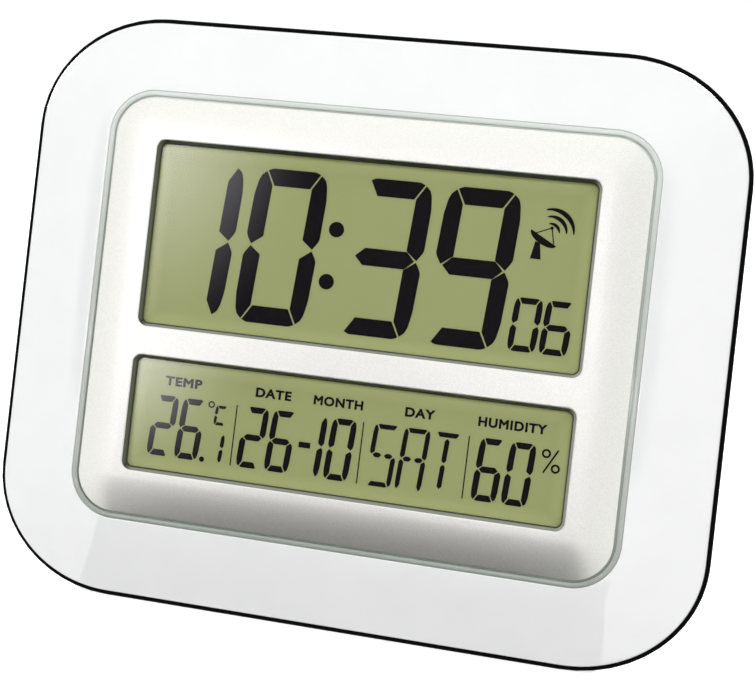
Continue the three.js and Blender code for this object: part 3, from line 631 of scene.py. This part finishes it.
def place(name, bm, *finishes, body="case", slot=None, replaces=()):
    """Makes a piece of a bmesh in the clock's own axes, in millimetres, and sets it on its body."""
    bmesh.ops.recalc_face_normals(bm, faces=bm.faces)
    bm.transform(clock_axes @ Matrix.Scale(MM, 4))
    mesh = bpy.data.meshes.new(name)
    bm.to_mesh(mesh)
    bm.free()
    for finish in finishes:
        mesh.materials.append(finish)
    mesh.shade_smooth()
    mesh.set_sharp_from_angle(angle=SHARP_ANGLE)
    made = bpy.data.objects.new(name, mesh)
    bpy.context.scene.collection.objects.link(made)
    made.modifiers.new("even_shading", "WEIGHTED_NORMAL").keep_sharp = True
    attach(made, body)
    if replaces:
        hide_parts(*replaces)


def quarter(steps):
    """Shares (sine, cosine) along a quarter round, ends included."""
    return [
        (math.sin(step / steps * math.pi / 2), math.cos(step / steps * math.pi / 2))
        for step in range(steps + 1)
    ]


def bezel_frame():
    """White frame: rounded rim, slopes with conical corners that ease to half their fall near the
    crest, and the groove's wall."""
    rim = case_loop(FRAME_INSET + FRAME_ROUND)
    crest = panel_loop(GROOVE + CREST_ROUND)
    rings = [(case_loop(FRAME_INSET), -GAP)]
    for sine, cosine in quarter(ROUND_STEPS):
        inset = FRAME_INSET + FRAME_ROUND * (1 - cosine)
        rings.append((case_loop(inset), FRAME_EDGE_Y + FRAME_ROUND * (1 - sine)))
    eased = 1 - CREST_EASE_FROM
    shares = [CREST_EASE_FROM * step / ROUND_STEPS for step in range(1, ROUND_STEPS)]
    shares += [
        CREST_EASE_FROM + eased * step / CREST_EASE_STEPS for step in range(CREST_EASE_STEPS)
    ]
    for share in shares + [1]:
        past = max(0, share - CREST_EASE_FROM)
        rise = share - past * past / (4 * eased)
        crest_y = FRAME_EDGE_Y + (FRAME_CREST_Y - FRAME_EDGE_Y) * rise
        rings.append((between(rim, crest, share), crest_y))
    for sine, cosine in quarter(ROUND_STEPS)[1:]:
        outset = GROOVE + CREST_ROUND * (1 - sine)
        rings.append((panel_loop(outset), crest_y + CREST_ROUND * (1 - cosine)))
    rings += [
        (panel_loop(GROOVE), LEDGE_Y),
        (panel_loop(-LEDGE_LAP), LEDGE_Y),
        (panel_loop(-LEDGE_LAP), LEDGE_Y + FRAME_WALL),
        (panel_loop(GROOVE + FRAME_WALL), LEDGE_Y + FRAME_WALL),
        (panel_loop(GROOVE + FRAME_WALL), FRAME_CREST_Y + FRAME_WALL),
        (case_loop(FRAME_INSET + FRAME_WALL), FRAME_EDGE_Y + FRAME_WALL),
        (case_loop(FRAME_INSET + FRAME_WALL), -GAP),
    ]
    place(
        "bezel_frame_shell",
        closed_skin(rings),
        white_gloss_abs,
        slot="white_gloss",
        replaces=["bezel_frame"],
    )


def cover_lip_line():
    """Thin printed line over the front and outer round of the rear cover's lip."""
    reach = LIP_ROUND + LIP_INK
    rings = [(case_loop(LIP_ROUND), LIP_ROUND - LIP_H)]
    for sine, cosine in quarter(ROUND_STEPS):
        rings.append((case_loop(LIP_ROUND - reach * cosine), LIP_ROUND - LIP_H - reach * sine))
    rings.append((case_loop(LIP_W), -LIP_H - LIP_INK))
    rings.append((case_loop(LIP_W), LIP_ROUND - LIP_H))
    place("rear_cover_lip_line", closed_skin(rings), black_lip_ink, slot="black_abs")


def trim_ring():
    """Clear half-round strip that fills the groove, with a low foot beside the panel."""
    middle = (RING_OUTER + RING_INNER) / 2
    half = (RING_OUTER - RING_INNER) / 2
    rings = [(panel_loop(RING_OUTER), RING_BACK_Y)]
    for step in range(2 * ROUND_STEPS + 1):
        angle = step / (2 * ROUND_STEPS) * math.pi
        y = RING_SIDE_Y + (RING_FRONT_Y - RING_SIDE_Y) * math.sin(angle)
        rings.append((panel_loop(middle + half * math.cos(angle)), y))
    rings.append((panel_loop(RING_INNER), RING_FOOT_Y))
    rings.append((panel_loop(RING_FOOT), RING_FOOT_Y))
    rings.append((panel_loop(RING_FOOT), RING_BACK_Y))
    place(
        "trim_ring_strip",
        closed_skin(rings),
        clear_styrene,
        slot="trim_clear",
        replaces=["trim_ring"],
    )


def front_panel():
    """Silver panel: rolled border, flat face, and two windows with rounded lips."""
    bm = bmesh.new()
    silver, shaded, shadow_foot = range(3)
    crown = PANEL_EDGE_Y - PANEL_FRONT_Y
    rings = [
        (panel_loop(-PANEL_SKIRT), PANEL_UNDER_Y),
        (panel_loop(-PANEL_SKIRT), PANEL_BACK_Y),
        (panel_loop(0), PANEL_BACK_Y),
    ]
    start = PANEL_EDGE_ROUND * (1 - math.cos(PANEL_EDGE_TURN)) / PANEL_ROLL
    round_y = PANEL_FRONT_Y + crown * (1 - start) ** ROLL_EASE
    round_y += PANEL_EDGE_ROUND * math.sin(PANEL_EDGE_TURN)
    for step in range(ROUND_STEPS):
        turn = PANEL_EDGE_TURN * step / ROUND_STEPS
        inset = PANEL_EDGE_ROUND * (1 - math.cos(turn))
        rings.append((panel_loop(-inset), round_y - PANEL_EDGE_ROUND * math.sin(turn)))
    for step in range(ROLL_STEPS + 1):
        share = start + (1 - start) * step / ROLL_STEPS
        fall = (1 - share) ** ROLL_EASE
        rings.append((panel_loop(-PANEL_ROLL * share), PANEL_FRONT_Y + crown * fall))
    border = [ring_of_verts(bm, loop, y) for loop, y in rings]
    skin(bm, border)
    fronts, unders = [border[-1]], [border[0]]
    lip_y = PANEL_FRONT_Y + WINDOW_LIP
    for height, middle in ((TIME_WINDOW_H, TIME_Z), (CALENDAR_WINDOW_H, CALENDAR_Z)):
        walls = []
        for sine, cosine in quarter(LIP_STEPS):
            outset = WINDOW_LIP * (1 - sine)
            lip_front_y = PANEL_FRONT_Y + WINDOW_LIP * (1 - cosine)
            walls.append((window_loop(height, middle, outset), lip_front_y))
        shade_y = lip_y + (PANEL_UNDER_Y - lip_y) * SHADE_REACH
        walls.append((window_loop(height, middle, -WINDOW_DRAFT * SHADE_REACH), shade_y))
        walls.append((window_loop(height, middle, -WINDOW_DRAFT), PANEL_UNDER_Y))
        rows = [ring_of_verts(bm, loop, y) for loop, y in walls]
        # Silver on the lip, painted shade down the sides, and a painted shadow line at their foot
        skin(bm, rows[:LIP_SILVER_ROWS], finish_index=silver)
        skin(bm, rows[LIP_SILVER_ROWS - 1 : -1], finish_index=shaded)
        skin(bm, rows[-2:], finish_index=shadow_foot)
        fronts.append(rows[0])
        unders.append(rows[-1])
    flat_fill(bm, fronts)
    flat_fill(bm, unders)
    place(
        "front_panel_shell",
        bm,
        satin_silver_lacquer,
        reveal_shade,
        reveal_painted_shadow_line,
        slot="silver_paint",
        replaces=["front_panel"],
    )


# Segments of the displays: slanted prisms of this thickness, just clear of the display's front
FILM_T = 0.06
FILM_CLEAR = 0.02
FILM_Y = LCD_FRONT_Y - FILM_CLEAR
SLANT = math.tan(math.radians(4.2))
SEGMENTS_OF = {
    "0": "abcdef",
    "1": "bc",
    "2": "abged",
    "3": "abgcd",
    "6": "afgedc",
    "9": "abcdfg",
    "C": "afed",
    "S": "afhicd",
    "A": "abcefhi",
    "T": "ajk",
}
# Bends of a segment's outline, in strokes: an upright's foot (in from its side, up from its foot)
# and shoulder (in from its side, down from its top), and a bar's shoulder (out from its end, down
# from its top). A bar ends this many gaps short of its neighbour. Then the fineness of dots and of
# the signal's waves, and the share of its thickness that a wave keeps at its ends.
UPRIGHT_FOOT = ((0.35, 0), (0.08, 0.42), (0, 0.62))
UPRIGHT_SHOULDER = ((0.02, 1.6), (0.13, 0.78), (0.27, 0.42), (0.54, 0.18))
BAR_SHOULDER = ((0.5, 0.13), (0.2, 0))
BAR_GAPS = 1.2
DISC_SIDES = 40
WAVE_STEPS = 24
WAVE_END_SHARE = 0.25


def segment_outlines(half_w, half_h, stroke, gap):
    """Outlines of the segments of one upright digit about its middle: a to g as usual, h and i for
    a broken middle bar, j and k for a middle stem."""
    inner = half_w - stroke
    bar = inner - BAR_GAPS * gap
    low = gap / 2
    foot = [(half_w - x * stroke, low + z * stroke) for x, z in UPRIGHT_FOOT]
    shoulder = [(half_w - x * stroke, half_h - z * stroke) for x, z in UPRIGHT_SHOULDER]
    upright = [(inner, low + stroke / 2), *foot, *shoulder, (inner, half_h - stroke)]
    right_end = [(bar + x * stroke, half_h - z * stroke) for x, z in BAR_SHOULDER]
    left_end = [(-x, z) for x, z in reversed(right_end)]
    top = [(-bar, half_h - stroke), (bar, half_h - stroke), *right_end, *left_end]
    reach = foot[0][0] - BAR_GAPS * gap
    dash = reach / 2 - gap / 2
    dash_at = reach / 2 + gap / 2
    stem = [(z, x) for x, z in pointed_bar(low, half_h - stroke - gap, stroke)]
    return {
        "a": top,
        "b": upright,
        "c": [(x, -z) for x, z in upright],
        "d": [(x, -z) for x, z in top],
        "e": [(-x, -z) for x, z in upright],
        "f": [(-x, z) for x, z in upright],
        "g": pointed_bar(-reach, reach, stroke),
        "h": [(x - dash_at, z) for x, z in pointed_bar(-dash, dash, stroke)],
        "i": [(x + dash_at, z) for x, z in pointed_bar(-dash, dash, stroke)],
        "j": stem,
        "k": [(x, -z) for x, z in stem],
    }


def pointed_bar(start, end, thick):
    """A level bar with a point at each end."""
    shoulder = thick / 2
    return [
        (start, 0),
        (start + shoulder, -shoulder),
        (end - shoulder, -shoulder),
        (end, 0),
        (end - shoulder, shoulder),
        (start + shoulder, shoulder),
    ]


def disc(x, z, radius):
    """Points round a dot."""
    angles = [i / DISC_SIDES * 2 * math.pi for i in range(DISC_SIDES)]
    return [(x + radius * math.cos(a), z + radius * math.sin(a)) for a in angles]


def wave_band(x, z, radius, start, end, thick):
    """A curved stroke that thins to its ends, from one angle to another in degrees."""
    outer, inner = [], []
    for i in range(WAVE_STEPS + 1):
        share = i / WAVE_STEPS
        angle = math.radians(start + (end - start) * share)
        swell = WAVE_END_SHARE + (1 - WAVE_END_SHARE) * math.sin(share * math.pi)
        half = thick / 2 * swell
        outer.append((x + (radius + half) * math.cos(angle), z + (radius + half) * math.sin(angle)))
        inner.append((x + (radius - half) * math.cos(angle), z + (radius - half) * math.sin(angle)))
    return outer + inner[::-1]


def stroke_line(x0, z0, x1, z1, thick):
    """A straight stroke from one point to another."""
    along = Vector((x1 - x0, z1 - z0)).normalized() * thick / 2
    side = Vector((-along.y, along.x))
    return [
        (x0 + side.x, z0 + side.y),
        (x0 - side.x, z0 - side.y),
        (x1 - side.x, z1 - side.y),
        (x1 + side.x, z1 + side.y),
    ]


def film_prism(bm, outline):
    """A thin flat prism of that outline, lying on the display."""
    front = ring_of_verts(bm, outline, FILM_Y - FILM_T)
    back = ring_of_verts(bm, outline, FILM_Y)
    bm.faces.new(front)
    bm.faces.new(back[::-1])
    skin(bm, [front, back])


def film_ring(bm, x, z, radius, thick):
    """A thin flat ring, lying on the display."""
    outer, inner = disc(x, z, radius), disc(x, z, radius - thick)
    front_y = FILM_Y - FILM_T
    rings = ((outer, FILM_Y), (outer, front_y), (inner, front_y), (inner, FILM_Y))
    skin(bm, [ring_of_verts(bm, loop, y) for loop, y in rings], closed=True)


def digit(bm, glyph, x, z, half_w, half_h, stroke, gap):
    """The lit segments of a digit or letter, slanted about its middle."""
    outlines = segment_outlines(half_w, half_h, stroke, gap)
    for segment in SEGMENTS_OF[glyph]:
        film_prism(bm, [(x + px + pz * SLANT, z + pz) for px, pz in outlines[segment]])


# Time display: each kind of digit with its middle's height and its sizes, and where each stands
HOUR_SIZE = {"z": 24.25, "half_w": 11.95, "half_h": 24.75, "stroke": 5.5, "gap": 0.5}
HOURS_AND_MINUTES = (("1", -54.65), ("0", -27.05), ("3", 6.45), ("9", 34.1))
SECOND_SIZE = {"z": 8.7, "half_w": 4.4, "half_h": 8.3, "stroke": 1.9, "gap": 0.35}
SECONDS = (("0", 52.15), ("6", 61.8))
COLON_DOTS = ((-9.8, 31.7), (-11.2, 15.05))
COLON_DOT_RADIUS = 2.45

# Signal mark: dish, mast, feed on two thin legs, and waves
DISH_X = 54.8
DISH_Z = 35.8
DISH_HALF = 4.6
DISH_DEPTH = 2.1
DISH_TILT = 0.51
DISH_STEPS = 20
MAST = ((51.3, 29.1), (54.6, 29.1), (53.9, 34.0), (52.4, 34.6))
FEED = (57.0, 39.0)
FEED_RADIUS = 0.5
FEED_LEG_FEET = ((52.4, 37.1), (58.0, 34.1))
FEED_LEG_T = 0.35
WAVE_MIDDLE = (56.6, 37.6)
WAVE_ANGLES = (0, 105)
WAVE_RADIUS_AND_T = ((2.7, 1.0), (4.9, 1.25), (7.1, 1.45))


def time_graphics():
    """Hours, minutes, seconds and the mark that says the radio signal is received."""
    bm = bmesh.new()
    for glyph, x in HOURS_AND_MINUTES:
        digit(bm, glyph, x, **HOUR_SIZE)
    for x, z in COLON_DOTS:
        film_prism(bm, disc(x, z, COLON_DOT_RADIUS))
    for glyph, x in SECONDS:
        digit(bm, glyph, x, **SECOND_SIZE)
    signal_mark(bm)
    place("time_segments", bm, dark_segment)


def signal_mark(bm):
    """A plain dish on a mast with three waves."""
    bowl = []
    for step in range(DISH_STEPS + 1):
        angle = math.pi * (1 + step / DISH_STEPS)
        along, deep = DISH_HALF * math.cos(angle), DISH_DEPTH * math.sin(angle)
        x = DISH_X + along * math.cos(DISH_TILT) + deep * math.sin(DISH_TILT)
        z = DISH_Z - along * math.sin(DISH_TILT) + deep * math.cos(DISH_TILT)
        bowl.append((x, z))
    film_prism(bm, bowl)
    film_prism(bm, MAST)
    for leg_foot in FEED_LEG_FEET:
        film_prism(bm, stroke_line(*leg_foot, *FEED, FEED_LEG_T))
    film_prism(bm, disc(*FEED, FEED_RADIUS))
    for radius, thick in WAVE_RADIUS_AND_T:
        film_prism(bm, wave_band(*WAVE_MIDDLE, radius, *WAVE_ANGLES, thick))


# Calendar display: digits, letters and marks of each field. A stroke is given by its two ends and
# its thickness, a dot by its middle and radius, and a ring also by its thickness.
FIELD_SIZE = {"z": -36.85, "half_w": 4.05, "half_h": 9.75, "stroke": 1.95, "gap": 0.35}
TEMPERATURE = (("2", -59.45), ("6", -50.15))
DATE_AND_MONTH = (("2", -29.35), ("6", -20.1), ("1", -10.2), ("0", -0.8))
HUMIDITY = (("6", 45.95), ("0", 55.3))
WEEKDAY_SIZE = {"z": -36.85, "half_h": 9.75, "stroke": 1.5, "gap": 0.4}
WEEKDAY = (("S", 12.85, 4.2), ("A", 22.35, 4.2), ("T", 31.95, 4.6))
TENTH_SIZE = {"z": -41.75, "half_w": 2.3, "half_h": 4.7, "stroke": 1.25, "gap": 0.35}
TENTH_X = -40.9
UNIT_SIZE = {"z": -31.25, "half_w": 2.1, "half_h": 3.15, "stroke": 0.95, "gap": 0.2}
UNIT_X = -40.5
DATE_DASH = (-14.2, -36.9, -10.4, -36.9, 1.8)
DECIMAL_POINT = (-45.3, -45.85, 0.85)
DEGREE_RING = (-43.95, -28.1, 1.1, 0.45)
PERCENT_RINGS = ((62.95, -29.4, 1.4, 0.62), (66.1, -33.75, 1.4, 0.62))
PERCENT_BAR = (62.5, -35.3, 66.5, -28.0, 0.55)
FIELD_LINES_X = (-35.7, 5.6, 38.9)
FIELD_LINE_LOW = -46.6
FIELD_LINE_HIGH = -27.2
FIELD_LINE_LEAN = 0.2
FIELD_LINE_T = 0.36


def calendar_graphics():
    """Temperature, date, weekday and humidity, with the lines between them."""
    bm = bmesh.new()
    for glyph, x in TEMPERATURE + DATE_AND_MONTH + HUMIDITY:
        digit(bm, glyph, x, **FIELD_SIZE)
    for glyph, x, half_w in WEEKDAY:
        digit(bm, glyph, x, half_w=half_w, **WEEKDAY_SIZE)
    digit(bm, "1", TENTH_X, **TENTH_SIZE)
    digit(bm, "C", UNIT_X, **UNIT_SIZE)
    film_prism(bm, stroke_line(*DATE_DASH))
    film_prism(bm, disc(*DECIMAL_POINT))
    for ring in (DEGREE_RING, *PERCENT_RINGS):
        film_ring(bm, *ring)
    film_prism(bm, stroke_line(*PERCENT_BAR))
    for x in FIELD_LINES_X:
        line = (x, FIELD_LINE_LOW, x + FIELD_LINE_LEAN, FIELD_LINE_HIGH, FIELD_LINE_T)
        film_prism(bm, stroke_line(*line))
    place("calendar_segments", bm, dark_segment)


# Captions: words with their left and right ends. Letters are made at a font's own size, swollen a
# little for a bolder stroke, and then scaled to their height.
CAPTIONS = (
    ("TEMP", -60.2, -47.8),
    ("DATE", -29.9, -18.2),
    ("MONTH", -10.9, 5.0),
    ("DAY", 18.4, 27.9),
    ("HUMIDITY", 41.3, 62.4),
)
CAPTION_FOOT_Z = -23.8
CAPTION_H = 3.0
CAPTION_WELD = 1e-4
LETTER_SPACING = 1.12
LETTER_HALF_DEPTH = 0.01
LETTER_SWELL = 0.042


def captions():
    """Plain captions that say what each field shows."""
    bm = bmesh.new()
    letter_depth = 2 * (LETTER_HALF_DEPTH + LETTER_SWELL)
    for words, left, right in CAPTIONS:
        curve = bpy.data.curves.new(words, "FONT")
        curve.body = words
        curve.space_character = LETTER_SPACING
        curve.extrude = LETTER_HALF_DEPTH
        curve.bevel_depth = LETTER_SWELL
        curve.bevel_resolution = 0
        letters = bpy.data.objects.new(words, curve)
        mesh = letters.to_mesh()
        xs = [v.co.x for v in mesh.vertices]
        zs = [v.co.y for v in mesh.vertices]
        part = bmesh.new()
        part.from_mesh(mesh)
        scale_x = (right - left) / (max(xs) - min(xs))
        scale_z = CAPTION_H / (max(zs) - min(zs))
        for v in part.verts:
            x, z, depth = v.co
            v.co = (
                left + (x - min(xs)) * scale_x,
                FILM_Y - FILM_T / 2 - depth / letter_depth * FILM_T,
                CAPTION_FOOT_Z + (z - min(zs)) * scale_z,
            )
        joined = bpy.data.meshes.new(words)
        part.to_mesh(joined)
        part.free()
        bm.from_mesh(joined)
        letters.to_mesh_clear()
        bpy.data.objects.remove(letters)
        bpy.data.curves.remove(curve)
        bpy.data.meshes.remove(joined)
    bmesh.ops.remove_doubles(bm, verts=bm.verts, dist=CAPTION_WELD)
    place("display_captions", bm, dark_segment)


def soften(node, radius):
    """Moulded edges for a solid that stays: its straight arrises get a small round."""
    solid = frame["nodes"][node]
    joined = solid.modifiers.new("joined_corners", "WELD")
    joined.merge_threshold = SOLID_WELD * MM
    plain = solid.modifiers.new("plain_faces", "DECIMATE")
    plain.decimate_type = "DISSOLVE"
    plain.angle_limit = FLAT_ANGLE
    arris = solid.modifiers.new("rounded_arris", "BEVEL")
    arris.width = radius * MM
    arris.segments = ARRIS_STEPS
    arris.limit_method = "ANGLE"
    arris.angle_limit = ARRIS_ANGLE
    arris.harden_normals = True
    solid.modifiers.new("even_shading", "WEIGHTED_NORMAL").keep_sharp = True


def door_arrow():
    """Raised arrow on the battery door that shows which way it slides."""
    bm = bmesh.new()
    low = ring_of_verts(bm, [(x, DOOR_Z + z) for x, z in ARROW_FOOT], DOOR_BACK_Y - ARROW_SINK)
    high = ring_of_verts(bm, [(x, DOOR_Z + z) for x, z in ARROW_TOP], DOOR_BACK_Y + ARROW_RISE)
    skin(bm, [low, high])
    bm.faces.new(low)
    bm.faces.new(high)
    place("battery_door_arrow", bm, black_grit_abs, body="door", slot="black_abs")


# Studio. Kinds of ray that miss each kind of card: a box lights the clock and is mirrored in it, a
# fill only lights it, and a strip or a dark card is only mirrored.
BOX_UNSEEN = ("camera", "shadow")
FILL_UNSEEN = ("camera", "shadow", "glossy")
MIRRORED_UNSEEN = ("camera", "shadow", "diffuse")
# Lit cards in the clock's own axes: place, edges (left, right, low, high), level, and reach in x and
# z. The boxes stand at the reader's left, where the windows mirror them in their upper left corners.
# The silver mirrors the strips between, over and beside the windows.
LIT_CARDS = (
    ("soft_box_upper", BOX_UNSEEN, (-330, -607, 150), (-174, 174, -195, 40), 6.9, (174, 226)),
    ("fill_box_upper", FILL_UNSEEN, (-330, -607, 150), (-174, 174, 40, 226), 6.9, (174, 226)),
    ("soft_box_lower", BOX_UNSEEN, (-330, -607, -45), (-143, 143, -143, -6), 9.0, (143, 143)),
    ("strip_light_bar", MIRRORED_UNSEEN, (60, -665, -53), (-230, 120, -9, 9), 18.0, (700, 40)),
    ("strip_light_top", MIRRORED_UNSEEN, (-10, -665, 147), (-120, 120, -9, 9), 10.0, (400, 40)),
    ("strip_light_side", MIRRORED_UNSEEN, (92, -665, 20), (-9, 9, -110, 110), 10.0, (40, 400)),
    ("strip_light_left", MIRRORED_UNSEEN, (-400, -665, -10), (-12, 12, -150, 150), 5.0, (40, 400)),
)
# Dark cards behind the camera, one where each window mirrors it
DARK_CARDS = (
    ("dark_card_time", (0, -660, 0), (-328, 70, -44, 134)),
    ("dark_card_calendar", (0, -660, 0), (-328, 70, -192, -63)),
)
# Dark card on the floor in front of the clock, which the frame's lower band mirrors
DARK_FLOOR_CORNERS = ((-245, -420, 1), (160, -420, 1), (86, -42, 1), (-86, -42, 1))
# Dark cards that thin out to their reach, so the frame darkens softly towards its crest. They are
# fully dark from this share of the way in.
GRADED_CARDS = (
    ("graded_card_right", (205, -640, 20), (-45, 125, -140, 200), (125, 200)),
    ("graded_card_left", (-500, -640, 20), (-150, 10, -140, 200), (150, 200)),
)
GRADED_FULL = 0.5
# Lamps: place and size in metres, watts, and whether gloss mirrors them
LAMPS = (
    ("lamp_left", (-1.0, -0.7, 0.9), 1.4, 3.2, False),
    ("lamp_right", (0.9, -0.7, 0.6), 1.0, 2.2, False),
    ("lamp_top", (0.0, -0.1, 1.1), 0.8, 1.2, True),
    ("lamp_front", (0.05, -1.05, 0.85), 0.35, 3.3, False),
    ("lamp_front_right", (0.42, -1.15, 0.45), 0.3, 1.85, False),
    ("lamp_rear", (0.5, 0.9, 0.8), 0.45, 9.0, True),
    ("lamp_rear_low", (-0.9, 0.6, 0.35), 0.35, 4.0, True),
)
LAMP_TARGET = Vector((0, 0, 0.09))
# Floor: half its width, how far it lies under the clock, and the light added to its white
FLOOR_HALF = 30000
FLOOR_SINK = 0.2
FLOOR_LIFT = 0.6
# Strength of the world's light, where 1 is the white that the camera sees
WORLD_FILL = 0.48


def paper_sweep():
    """Matt white paper: white where it is seen and in gloss and glass, with the shadow kept, and a
    plain grey bounce."""
    made, tree, shader = new_material("white_paper_sweep", Roughness=1.0, Specular_IOR_Level=0.0)
    shader.inputs["Base Color"].default_value = linear("#B0B0AC")
    path = add(tree, "LightPath")
    mirrored = add(
        tree,
        "Math",
        {0: (path, "Is Glossy Ray"), 1: (path, "Is Transmission Ray")},
        operation="MAXIMUM",
    )
    white = add(tree, "Emission", {"Strength": 1.0})
    bounce = add(
        tree, "MixShader", {0: (mirrored, "Value"), 1: (shader, "BSDF"), 2: (white, "Emission")}
    )
    pale = add(tree, "BsdfDiffuse", {"Color": linear("#FFFFFF")})
    lift = add(tree, "Emission", {"Strength": FLOOR_LIFT})
    shown = add(tree, "AddShader", {0: (pale, "BSDF"), 1: (lift, "Emission")})
    mixed = add(
        tree,
        "MixShader",
        {0: (path, "Is Camera Ray"), 1: (bounce, "Shader"), 2: (shown, "Shader")},
    )
    show_surface(tree, mixed, "Shader")
    return made


def fade_to_reach(tree, reach, gradient_type):
    """A gradient that is 1 at a card's middle and falls to 0 at its reach in x and z."""
    at = add(tree, "TexCoord")
    per_reach = (1 / (reach[0] * MM), 1, 1 / (reach[1] * MM))
    scaled = add(tree, "Mapping", {"Vector": (at, "Object"), "Scale": per_reach})
    return add(tree, "TexGradient", {"Vector": (scaled, "Vector")}, gradient_type=gradient_type)


def soft_box_cloth(name, level, reach):
    """Lit cloth of a soft box: brightest at its middle, fading to nothing at its reach."""
    made, tree, shader = new_material(name)
    tree.nodes.remove(shader)
    fade = fade_to_reach(tree, reach, "QUADRATIC_SPHERE")
    strength = add(tree, "Math", {0: (fade, "Fac"), 1: level}, operation="MULTIPLY")
    glow = add(tree, "Emission", {"Color": linear("#FBF7FF"), "Strength": (strength, "Value")})
    clear = add(tree, "BsdfTransparent")
    both = add(tree, "AddShader", {0: (glow, "Emission"), 1: (clear, "BSDF")})
    show_surface(tree, both, "Shader")
    return made


def black_flock(name):
    """Black flocked card: gives gloss something dark to show."""
    return grained(
        name, "#050505", "#0A0A0A", grain_mm=2, rough=(0.9, 1.0), Specular_IOR_Level=0.0
    )


def graded_flock(name, reach):
    """Black flocked card that thins out to nothing at its reach."""
    made = black_flock(name)
    tree = made.node_tree
    fade = fade_to_reach(tree, reach, "SPHERICAL")
    dark = add(tree, "MapRange", {"Value": (fade, "Fac"), "From Max": GRADED_FULL})
    clear = add(tree, "BsdfTransparent")
    flock = tree.nodes["Principled BSDF"]
    mixed = add(tree, "MixShader", {0: (dark, "Result"), 1: (clear, "BSDF"), 2: (flock, "BSDF")})
    show_surface(tree, mixed, "Shader")
    return made


def stage_card(name, corners, finish, axes, unseen):
    """A flat card of the studio, with the kinds of ray that miss it."""
    bm = bmesh.new()
    bm.faces.new([bm.verts.new(Vector(c) * MM) for c in corners])
    mesh = bpy.data.meshes.new(name)
    bm.to_mesh(mesh)
    bm.free()
    mesh.materials.append(finish)
    made = bpy.data.objects.new(name, mesh)
    made.matrix_world = axes
    for kind in unseen:
        setattr(made, "visible_" + kind, False)
    bpy.context.scene.collection.objects.link(made)


def upright_card(name, where, edges, finish, unseen):
    """A card that stands parallel to the clock's face, with its edges about its place."""
    left, right, low, high = edges
    corners = [(left, 0, low), (right, 0, low), (right, 0, high), (left, 0, high)]
    axes = clock_axes @ Matrix.Translation(Vector(where) * MM)
    stage_card(name, corners, finish, axes, unseen)


def studio_cards():
    """Floor, soft boxes, strips and dark cards."""
    level_axes = Matrix.Translation((0, 0, -FLOOR_SINK * MM))
    far = FLOOR_HALF
    floor_corners = [(-far, -far, 0), (far, -far, 0), (far, far, 0), (-far, far, 0)]
    stage_card("floor", floor_corners, paper_sweep(), level_axes, ())
    for name, unseen, where, edges, level, reach in LIT_CARDS:
        upright_card(name, where, edges, soft_box_cloth(name + "_cloth", level, reach), unseen)
    flock = black_flock("black_flock")
    for name, where, edges in DARK_CARDS:
        upright_card(name, where, edges, flock, MIRRORED_UNSEEN)
    stage_card("dark_card_floor", DARK_FLOOR_CORNERS, flock, level_axes, MIRRORED_UNSEEN)
    for name, where, edges, reach in GRADED_CARDS:
        upright_card(name, where, edges, graded_flock(name + "_flock", reach), MIRRORED_UNSEEN)


def studio_lamps():
    """White world, dimmed for the light that it gives, and area lamps."""
    world = bpy.data.worlds.new("white_studio")
    bpy.context.scene.world = world
    world.use_nodes = True
    tree = world.node_tree
    tree.nodes.clear()
    path = add(tree, "LightPath")
    direct = add(
        tree,
        "Math",
        {0: (path, "Is Camera Ray"), 1: (path, "Is Glossy Ray")},
        operation="MAXIMUM",
    )
    seen = add(
        tree,
        "Math",
        {0: (direct, "Value"), 1: (path, "Is Transmission Ray")},
        operation="MAXIMUM",
    )
    level = add(tree, "MapRange", {"Value": (seen, "Value"), "To Min": WORLD_FILL, "To Max": 1.0})
    light = add(tree, "Background", {"Color": (1, 1, 1, 1), "Strength": (level, "Result")})
    add(tree, "OutputWorld", {"Surface": (light, "Background")})

    for name, where, size, power, mirrored in LAMPS:
        lamp = bpy.data.lights.new(name, "AREA")
        lamp.size = size
        lamp.energy = power
        holder = bpy.data.objects.new(name, lamp)
        holder.location = where
        aim = LAMP_TARGET - Vector(where)
        holder.rotation_euler = aim.to_track_quat("-Z", "Y").to_euler()
        holder.visible_camera = False
        holder.visible_glossy = mirrored
        bpy.context.scene.collection.objects.link(holder)


# The photograph's camera in the clock's own axes: eye in millimetres, turn to the left, and roll
FOCAL_PX = 1200
IMAGE_W = 755
SENSOR_MM = 36
EYE = (71.62, -374.87, 14.32)
YAW = 0.17752
ROLL = -0.11257
AXIS_ABOVE_MIDDLE_PX = 56.2
CLIP_START = 0.01
CLIP_END = 100


def camera():
    """Camera at the photograph's place, with a shift for its framing."""
    forward = Vector((-math.sin(YAW), math.cos(YAW), 0))
    right = Vector((math.cos(YAW), math.sin(YAW), 0))
    down = forward.cross(right)
    image_right = math.cos(ROLL) * right + math.sin(ROLL) * down
    image_down = -math.sin(ROLL) * right + math.cos(ROLL) * down
    turn = Matrix((image_right, -image_down, -forward)).transposed().to_4x4()
    lens = bpy.data.cameras.new("camera")
    lens.sensor_width = SENSOR_MM
    lens.lens = FOCAL_PX * SENSOR_MM / IMAGE_W
    lens.shift_y = -AXIS_ABOVE_MIDDLE_PX / IMAGE_W
    lens.clip_start = CLIP_START
    lens.clip_end = CLIP_END
    made = bpy.data.objects.new("camera", lens)
    bpy.context.scene.collection.objects.link(made)
    made.matrix_world = clock_axes @ Matrix.Translation(Vector(EYE) * MM) @ turn
    bpy.context.scene.camera = made


for node, radius in ARRIS_ROUND_OF.items():
    soften(node, radius)
bezel_frame()
cover_lip_line()
trim_ring()
door_arrow()
front_panel()
time_graphics()
calendar_graphics()
captions()
studio_cards()
studio_lamps()
camera()
bpy.context.scene.view_settings.view_transform = "Standard"
